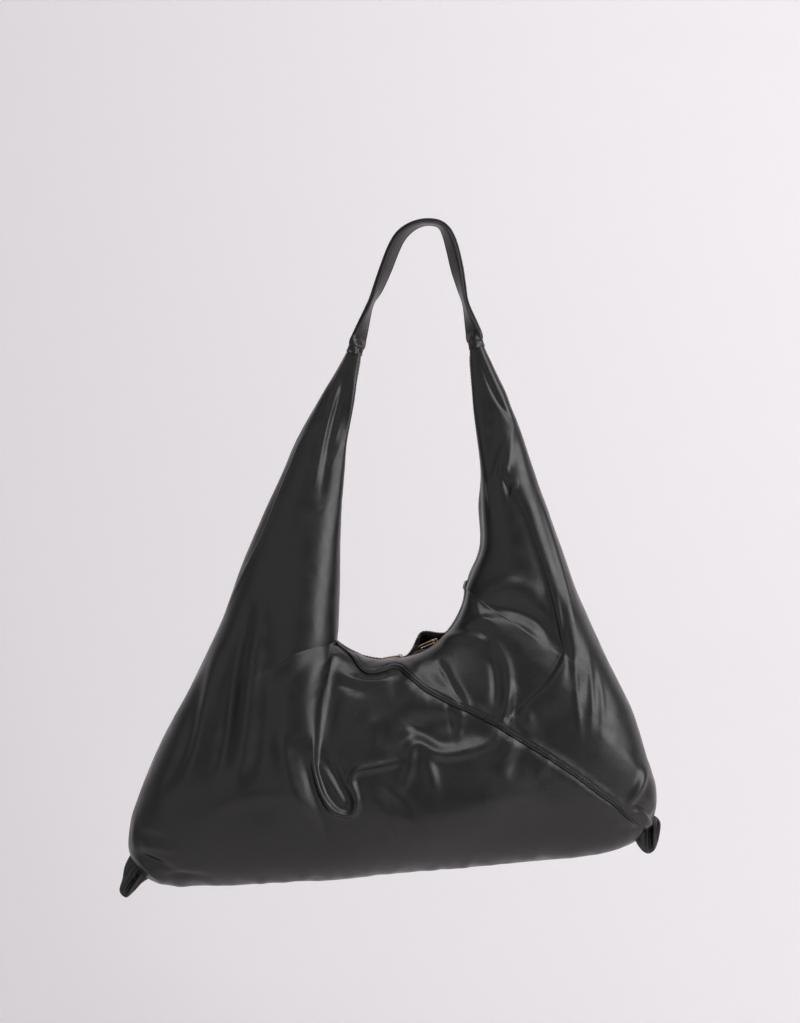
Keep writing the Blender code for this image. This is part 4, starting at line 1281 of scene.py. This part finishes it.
toothShape = makeToothShape()
for side, word in ((front, "front"), (back, "back")):
    makeTape(side, word + "ZipTape", "zip_tape_" + word)
    makeTeeth(side, word + "ZipTeeth", "zip_teeth_" + word)


def matrixOf(along, out, origin):
    return Matrix(((along[0], 0, out[0], origin[0]), (along[1], 1, out[1], origin[1]),
                   (along[2], 0, out[2], origin[2]), (0, 0, 0, 1)))


def zipFrame(angle):
    # X along the zip towards the right arm, Y across, Z out of the bag
    radians = math.radians(angle)
    reach = mouth["radius"] + zipLook["level"]
    along = (-math.sin(radians), 0, math.cos(radians))
    out = (-math.cos(radians), 0, -math.sin(radians))
    origin = mm(mouth["centre"][0] + reach * math.cos(radians), 0,
                mouth["centre"][1] + reach * math.sin(radians))
    return matrixOf(along, out, origin)


def plate(outline, low, high, round=0.3):
    # A flat outline in millimetres, pulled up to a plate with rounded edges
    bpy.ops.object.select_all(action="DESELECT")
    bpy.ops.mesh.primitive_circle_add(vertices=len(outline), fill_type="NGON")
    made = bpy.context.object
    setPlaces(made.data, [(x, y, low) for x, y in outline])
    bpy.ops.object.mode_set(mode="EDIT")
    bpy.ops.mesh.select_all(action="SELECT")
    bpy.ops.mesh.extrude_region_move(TRANSFORM_OT_translate={"value": mm(0, 0, high - low)})
    bpy.ops.object.mode_set(mode="OBJECT")
    outwards(made)
    if round:
        edge = made.modifiers.new("edge", "BEVEL")
        edge.width = mm(round)
        edge.segments = 3
        edge.limit_method = "ANGLE"
        applyAll(made)
    return made


def mirrored(points):
    return points + [(x, -y) for x, y in reversed(points)]


def place(made, matrix):
    made.data.transform(matrix)
    made.data.update()
    smoothShade(made, 35)


sliderLook = {
    "left": 279.498,
    "right": 307.802,
    "outline": [(4.75, 0.9), (4.6, 2.8), (3.9, 3.8), (2.6, 4.2), (0.5, 4.15), (-2.4, 3.5), (-4.2, 3.2),
                (-4.75, 2.4)],
    "side": [(3.4, 3.3), (3.4, 4.0), (0.4, 4.05), (-3.0, 3.3), (-3.0, 2.95), (0.3, 3.3)],
    "neck": [(4.5, 0.05), (3.4, 0.5), (2.0, 0.35), (1.2, 0.05)],
    "inside": 1.2,
    "plate": 1.4,
    "flange": 0.65,
    "bail": {"half": 2.2, "wire": 0.6, "long": 1.05, "wide": 1.6, "flat": 0.82, "sunk": 0.1},
    "pivot": 4.3,
}


def makeSlider(which):
    # Two plates with turned-in sides, joined by a wedge at the wide end, and a bail on top
    look = sliderLook
    top = look["inside"] + look["plate"]
    outline = mirrored(look["outline"])
    pieces = [plate(outline, look["inside"], top), plate(outline, -top, -look["inside"])]
    for sign in (1, -1):
        side = [(x, sign * y) for x, y in look["side"]]
        pieces.append(plate(side, look["inside"] - look["flange"], look["inside"] + 0.2, 0.15))
        pieces.append(plate(side, -look["inside"] - 0.2, -look["inside"] + look["flange"], 0.15))
    pieces.append(plate(mirrored(look["neck"]), -look["inside"] - 0.6, look["inside"] + 0.6, 0))
    bail = look["bail"]
    bpy.ops.object.select_all(action="DESELECT")
    bpy.ops.mesh.primitive_torus_add(major_radius=mm(bail["half"]), minor_radius=mm(bail["wire"]),
                                     major_segments=32, minor_segments=12, rotation=(math.pi / 2, 0, 0))
    ring = bpy.context.object
    bpy.ops.object.transform_apply(location=False, rotation=True, scale=False)
    places = vertexPlaces(ring.data) * np.array([bail["long"], bail["wide"], bail["flat"]])
    places[:, 2] += look["pivot"] - bail["sunk"]
    setPlaces(ring.data, places)
    pieces.append(ring)
    made = joined("slider" + which.capitalize(), pieces, bronze)
    turn = Matrix.Rotation(0 if which == "left" else math.pi, 4, "Z")
    place(made, zipFrame(look[which]) @ turn)
    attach(made, "slider_" + which)
    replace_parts(made, "zip_slider_" + which)


pullLook = {
    "length": 19,
    "half": 2.8,
    "wire": 0.85,
    "narrow": 0.12,
    "flat": 0.2,
    "lift": {"left": 0, "right": 14},
    "twist": {"left": 20, "right": 36},
}


def makePull(which):
    # A long wire ring: a torus drawn out along the zip
    look = pullLook
    bpy.ops.object.select_all(action="DESELECT")
    bpy.ops.mesh.primitive_torus_add(major_radius=mm(look["half"]), minor_radius=mm(look["wire"]),
                                     major_segments=44, minor_segments=14)
    made = bpy.context.object
    made.name = "pull" + which.capitalize()
    places = vertexPlaces(made.data)
    straight = look["length"] - 2 * look["wire"] - 2 * look["half"]
    places[:, 0] += look["half"] + np.where(places[:, 0] > 0.01, straight, 0)
    # the far end is a little narrower, and the hand end a little flat
    share = np.clip(places[:, 0] / look["length"], 0, 1)
    places[:, 1] *= 1 - look["narrow"] * share
    places[:, 2] *= 1 - look["flat"] * share
    setPlaces(made.data, places)
    made.data.materials.append(bronze)
    frame = zipFrame(sliderLook[which])
    pivot = frame @ mm(0, 0, sliderLook["pivot"])
    lift = math.radians(look["lift"][which])
    direction = frame.to_3x3() @ Vector((-math.cos(lift), 0, math.sin(lift)))
    matrix = matrixOf(direction, direction.cross(Vector((0, 1, 0))), pivot)
    place(made, matrix @ Matrix.Rotation(math.radians(look["twist"][which]), 4, "X"))
    outwards(made)
    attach(made, "pull_" + which)
    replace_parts(made, "zip_pull_" + which)


def makeStop(which, chainEnd, toward):
    # A crimped staple over both rows
    half = zipLook["stop"] / 2
    wide = zipLook["rail"]
    outline = mirrored([(half, 0.6), (half, wide - 0.4), (half - 0.3, wide), (-half + 0.3, wide),
                        (-half, wide - 0.4), (-half, 0.6)])
    body = plate(outline, -0.8, 0.8, 0.25)
    grip = half * 0.45
    outline = mirrored([(grip, 0.2), (grip, wide - 0.6), (-grip, wide - 0.6), (-grip, 0.2)])
    grip = plate(outline, 0.6, 1.0, 0.15)
    made = joined("stop" + which.capitalize(), [body, grip], bronze)
    reach = mouth["radius"] + zipLook["level"]
    place(made, zipFrame(chainEnd + toward * math.degrees((half + 0.3) / reach)))
    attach(made, "bag")
    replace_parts(made, "zip_stop_" + which)


for which in ("left", "right"):
    makeSlider(which)
    makePull(which)
makeStop("left", zipLook["chainFrom"], -1)
makeStop("right", zipLook["chainTo"], 1)
print("zip made")


# Strap: two stitched leather layers, sewn into the gathered ends of the arms

armTips = {"left": {"tip": (-75.5, -125), "lean": 17.5, "column": 0},
           "right": {"tip": (44.8, -119), "lean": -12.7, "column": -1}}
strapLook = {
    "width": 20,
    "layer": 1.8,
    "gap": 0.3,
    "crown": 0.35,
    "seam": 7.7,
    "dip": 0.45,
    "endTwist": 38,
    "bendTop": -84,
    "path": [(-61, -81, 8), (-53, -64, 20), (-45, -44, 28), (-38, -26, 28), (-31, -13, 24), (-22, -4.5, 16),
             (-11, 0.8, 8), (0, 1.95, 5), (9.5, -0.8, 8), (16, -9, 20), (21, -23, 28), (26, -44, 28),
             (30, -61, 18), (35, -81, 8)],
}
collarLook = {
    "height": 12,
    "below": 5,
    "flare": 1.09,
    "bulge": 1.3,
    "pleats": 8,
    "pleatDepth": 0.7,
    "levels": 30,
    "around": 96,
    "waist": 0.36,
    "tacks": 14,
    "tackRows": (-0.6, 0.3),
}


def collarTop(which):
    tip, lean = armTips[which]["tip"], math.radians(armTips[which]["lean"])
    reach = collarLook["height"] + 2 * strapLook["gap"]
    return tip[0] + math.sin(lean) * reach, tip[1] + math.cos(lean) * reach


strapLine = evenLine([(*collarTop("left"), strapLook["endTwist"]), *strapLook["path"],
                      (*collarTop("right"), strapLook["endTwist"])], 401)
strapRun = unit(np.gradient(strapLine[:, :2], axis=0))
strapTwist = np.radians(strapLine[:, 2])
strapPlaces = np.stack([strapLine[:, 0], 0 * strapTwist, strapLine[:, 1]], axis=1)
strapWidth = np.stack([strapRun[:, 1] * np.sin(strapTwist), np.cos(strapTwist),
                       -strapRun[:, 0] * np.sin(strapTwist)], axis=1)
strapOut = np.cross(np.stack([strapRun[:, 0], 0 * strapTwist, strapRun[:, 1]], axis=1), strapWidth)
# the strap proper lies between these two, its flexible ends outside them
topFrom = int(np.argmax(strapLine[:, 1] >= strapLook["bendTop"]))
topTo = len(strapLine) - 1 - int(np.argmax(strapLine[::-1, 1] >= strapLook["bendTop"]))


def strapFace(across):
    # height of a layer's outer face: slightly crowned, drawn in by its stitches
    half = strapLook["width"] / 2
    crown = strapLook["crown"] * (1 - (across / half) ** 2)
    dip = strapLook["dip"] * hump(np.abs(across) - strapLook["seam"], 0.8)
    return strapLook["gap"] / 2 + strapLook["layer"] + crown - dip


def strapLayer(name, first, last, sign):
    half = strapLook["width"] / 2
    across = np.linspace(-half + 0.35, half - 0.35, 33)
    low = strapLook["gap"] / 2
    middle = low + strapLook["layer"] / 2
    profile = [(w, h) for w, h in zip(across, strapFace(across))]
    profile += [(half, middle + 0.4), (half, middle - 0.4), (half - 0.5, low), (0, low), (0.5 - half, low),
                (-half, middle - 0.4), (-half, middle + 0.4)]
    profile = np.array(profile)
    picks = np.arange(first, last + 1, 2)
    picks[-1] = last
    rings = (strapPlaces[picks, None] + profile[None, :, 0, None] * strapWidth[picks, None]
             + sign * profile[None, :, 1, None] * strapOut[picks, None])
    made = tubeRings(name, rings, strapNappa)
    smoothShade(made, 50)
    return made


def strapStitches(name, first, last):
    lengths = lengthsAlong(strapPlaces)
    starts = np.arange(lengths[first] + stitchLook["pitch"] / 2, lengths[last] - stitchLook["length"] / 2,
                       stitchLook["pitch"])
    picks = np.searchsorted(lengths, starts)
    rows = []
    for sign in (1, -1):
        for across in (-strapLook["seam"], strapLook["seam"]):
            face = sign * strapFace(np.array([across]))
            spots = strapPlaces[picks] + across * strapWidth[picks] + face * strapOut[picks]
            rows.append(stitchRow(name, spots, strapOut[picks] * sign, None))
    return joined(name, rows, stitchThread)


for name, sign in (("strapOuterLayer", 1), ("strapInnerLayer", -1)):
    layer = strapLayer(name, topFrom, topTo, sign)
    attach(layer, "strap")
    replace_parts(layer, "strap_outer_layer" if sign > 0 else "strap_inner_layer")
topStitches = strapStitches("strapStitches", topFrom, topTo)
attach(topStitches, "strap")

for which, first, last in (("left", 0, topFrom), ("right", topTo, len(strapLine) - 1)):
    ends = [strapPlaces[first] * millimetre, strapPlaces[last] * millimetre]
    if which == "left":
        ends.reverse()
    layers = [strapLayer("endLayer", first, last, sign) for sign in (1, -1)]
    layers = joined("strapEnd" + which.capitalize(), layers, strapNappa)
    smoothShade(layers, 50)
    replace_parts(layers, "strap_bend_" + which)
    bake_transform(layers, "strap", "bag", start=tuple(ends[0]), end=tuple(ends[1]))
    stitches = strapStitches("strapEndStitches" + which.capitalize(), first, last)
    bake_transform(stitches, "strap", "bag", start=tuple(ends[0]), end=tuple(ends[1]))
print("strap made")


def evenRing(ring, count):
    closed = np.vstack([ring, ring[:1]])
    lengths = lengthsAlong(closed)
    return spotsAt(np.linspace(0, lengths[-1], count, endpoint=False), lengths, closed)


def makeCollar(which):
    # The arm's leather gathered into pleats and bound down on the strap's end
    look = collarLook
    arm = armTips[which]
    frontRing = loftFace(front, 2)[0][arm["column"]]
    backRing = loftFace(back, 2)[0][arm["column"]]
    ring = evenRing(np.vstack([frontRing, backRing[::-1][1:-1]]), look["around"])
    lean = math.radians(arm["lean"])
    up = np.array([math.sin(lean), 0, math.cos(lean)])
    centre = np.array([arm["tip"][0], 0, arm["tip"][1]])
    width, out = strapWidth[arm["column"]], strapOut[arm["column"]]
    top = strapPlaces[arm["column"]]
    spoke = ring - centre
    a, b = spoke @ width, spoke @ out
    size = (np.abs(a) / (strapLook["width"] / 2 + 0.5)) ** 4
    size = size + (np.abs(b) / (strapLook["layer"] + 0.9)) ** 4
    flat = (width * a[:, None] + out * b[:, None]) / size[:, None] ** 0.25
    turn = np.arctan2(b / np.abs(b).max(), a / np.abs(a).max())
    radial = unit(spoke)
    rings = []
    for share in np.linspace(-look["below"] / look["height"], 1, look["levels"]):
        mix = float(softStep(share))
        level = centre + up * look["height"] * share + spoke * (look["flare"] + 0.1 * max(-share, 0))
        level = level * (1 - mix) + (centre + (top - centre) * share + flat) * mix
        puff = look["bulge"] * math.sin(math.pi * min(max(share, 0), 1)) - 0.9 * hump(share - 0.12, 0.07)
        puff += 0.5 * hump(share + look["below"] / look["height"], 0.08)
        pleat = np.cos(look["pleats"] * turn + 1.3 * math.sin(3 * share + 1))
        pleat = look["pleatDepth"] * pleat * (1 - mix) ** 0.6
        rings.append(level + radial * (puff + pleat)[:, None])
    made = tubeRings("collar" + which.capitalize(), np.array(rings), nappa)
    smoothShade(made, 50)
    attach(made, "bag")
    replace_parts(made, "strap_collar_" + which)
    # a bar tack of thread wound across the waist, front and back
    waist = np.array(rings)[int(look["levels"] * look["waist"])]
    around = evenRing(waist, look["tacks"])
    outward = unit(around - waist.mean(axis=0))
    tacks = [copyAlong("tack", stitchShape, around + up * lift + outward * 0.15, np.cross(outward, up),
                       outward, stitchThread) for lift in look["tackRows"]]
    tack = joined("barTack" + which.capitalize(), tacks, stitchThread)
    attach(tack, "bag")


makeCollar("left")
makeCollar("right")
print("collars made")


# Ears: the pinched, sewn corner tabs

earLook = {
    "left": {
        "outline": [(-299, -628), (-306, -641), (-308.5, -654), (-311.5, -667), (-305, -673.5),
                    (-297.5, -668), (-289, -659), (-279, -651), (-284, -640), (-292, -632)],
        "root": (-288, -640), "tip": (-307, -672), "thick": 5.0, "fold": 5.5, "foldDepth": 1.0, "hollow": 1.6,
    },
    "right": {
        "outline": [(200, -603), (205, -618), (211.5, -627), (218, -629.5), (224.5, -624.5), (228.5, -611),
                    (229, -597), (219, -590), (208, -594)],
        "root": (214, -596), "tip": (217, -629), "thick": 5.5, "fold": 6.5, "foldDepth": 1.2, "hollow": 2.4,
    },
}

earForm = {"pole": 0.04, "levels": 34, "round": 0.8, "thin": 0.75, "hollowAt": 2.5, "hollowWidth": 2.2}


def makeEar(which):
    look = earLook[which]
    form = earForm
    outline = look["outline"] + look["outline"][:1]
    line = evenLine(outline, 97)[:-1]
    middle = line.mean(axis=0)
    axis = np.array(look["tip"], float) - np.array(look["root"], float)
    axis /= np.linalg.norm(axis)
    across = np.array([-axis[1], axis[0]])
    rings = []
    for turn in np.linspace(form["pole"], math.pi - form["pole"], form["levels"]):
        reach, lift = math.sin(turn) ** form["round"], -math.cos(turn)
        flat = middle + (line - middle) * reach
        v = (flat - middle) @ across
        u = (flat - middle) @ axis
        crease = look["foldDepth"] * np.cos(2 * np.pi * v / look["fold"] + 0.05 * u)
        crease -= look["hollow"] * hump(v - form["hollowAt"] + 0.1 * u, form["hollowWidth"])
        full = look["thick"] * lift * (form["thin"] + (1 - form["thin"]) * reach)
        y = full + np.sign(lift) * crease * abs(lift) ** 0.5
        rings.append(np.stack([flat[:, 0], y, flat[:, 1]], axis=1))
    made = tubeRings("ear" + which.capitalize(), np.array(rings), nappa)
    smoothShade(made, 60)
    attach(made, "bag")
    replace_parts(made, "corner_ear_" + which)


makeEar("left")
makeEar("right")
for shape in (stitchShape, toothShape):
    bpy.data.objects.remove(shape)
print("ears made")


# Floor, backdrop and light

studio = {
    "floor": -1000,
    "wall": 900,
    "near": -1600,
    "sweep": 500,
    "top": 3500,
    "half": 5000,
    "paper": "#e6e2e5",
    "paperShown": 0.33,
    "room": "#dcdcde",
    "roomStrength": 0.1,
    "roomShown": 0.35,
}


def seenDirectly(tree):
    # 1 for the camera, mirrors and glass, 0 for the light that falls on things
    path = addNode(tree, "ShaderNodeLightPath")
    seen = path.outputs["Is Camera Ray"]
    for ray in ("Is Glossy Ray", "Is Transmission Ray"):
        seen = addMaths(tree, "MAXIMUM", seen, path.outputs[ray])
    return seen


def makeBackdrop():
    # A seamless paper sweep: floor, curve and wall
    profile = []
    steps = 12
    for step in range(steps + 1):
        turn = math.pi / 2 * step / steps
        profile.append((studio["wall"] - studio["sweep"] + studio["sweep"] * math.sin(turn),
                        studio["floor"] + studio["sweep"] * (1 - math.cos(turn))))
    profile = [(studio["near"], studio["floor"])] + profile + [(studio["wall"], studio["top"])]
    sides = (-studio["half"], studio["half"])
    paper = gridPiece("paperSweep", np.array([[(x, y, z) for y, z in profile] for x in sides]), nappa)
    paper.data.shade_smooth()
    made, tree, shader = newMaterial("palePaper", Base_Color=toLinear(studio["paper"]), Roughness=0.9)
    # the camera, and what mirrors it, see the paper a little lighter than the lamps make it
    strength = addMaths(tree, "MULTIPLY", seenDirectly(tree), studio["paperShown"])
    glow = addNode(tree, "ShaderNodeEmission", {"Color": toLinear(studio["paper"])}, {"Strength": strength})
    both = addNode(tree, "ShaderNodeAddShader", links={0: shader.outputs[0], 1: glow.outputs[0]})
    # from behind, the paper doesn't stand between the camera and the bag
    rear = addNode(tree, "ShaderNodeNewGeometry").outputs["Backfacing"]
    clear = addNode(tree, "ShaderNodeBsdfTransparent")
    sided = addNode(tree, "ShaderNodeMixShader", links={0: rear, 1: both.outputs[0], 2: clear.outputs[0]})
    tree.links.new(sided.outputs[0], tree.nodes["Material Output"].inputs["Surface"])
    paper.data.materials[0] = made


lamps = {
    "keySoftbox": {"place": (1500, -1000, 330), "target": (0, -50, -480), "size": (1300, 1700), "watts": 27},
    "fillSoftbox": {"place": (-1500, -1700, 0), "target": (0, 0, -450), "size": (2000, 2000), "watts": 4},
    "topSoftbox": {"place": (250, -1100, 1500), "target": (0, 0, -480), "size": (1500, 1200), "watts": 17},
}


def addLamp(name, place, target, size, watts):
    data = bpy.data.lights.new(name, "AREA")
    data.shape = "RECTANGLE"
    data.size, data.size_y = mm(size[0]), mm(size[1])
    data.energy = watts
    lamp = bpy.data.objects.new(name, data)
    lamp.location = mm(*place)
    lamp.visible_camera = False
    lamp.rotation_euler = (mm(*target) - mm(*place)).to_track_quat("-Z", "Y").to_euler()
    bpy.context.scene.collection.objects.link(lamp)


def makeLight():
    world = bpy.data.worlds.new("paleRoom")
    world.use_nodes = True
    tree = world.node_tree
    tree.nodes["Background"].inputs["Color"].default_value = toLinear(studio["room"])
    shown = addMaths(tree, "MULTIPLY", studio["roomShown"], seenDirectly(tree))
    strength = addMaths(tree, "ADD", shown, studio["roomStrength"])
    tree.links.new(strength, tree.nodes["Background"].inputs["Strength"])
    bpy.context.scene.world = world
    for name, lamp in lamps.items():
        addLamp(name, **lamp)


makeBackdrop()
makeLight()
bpy.context.scene.view_settings.view_transform = "Standard"
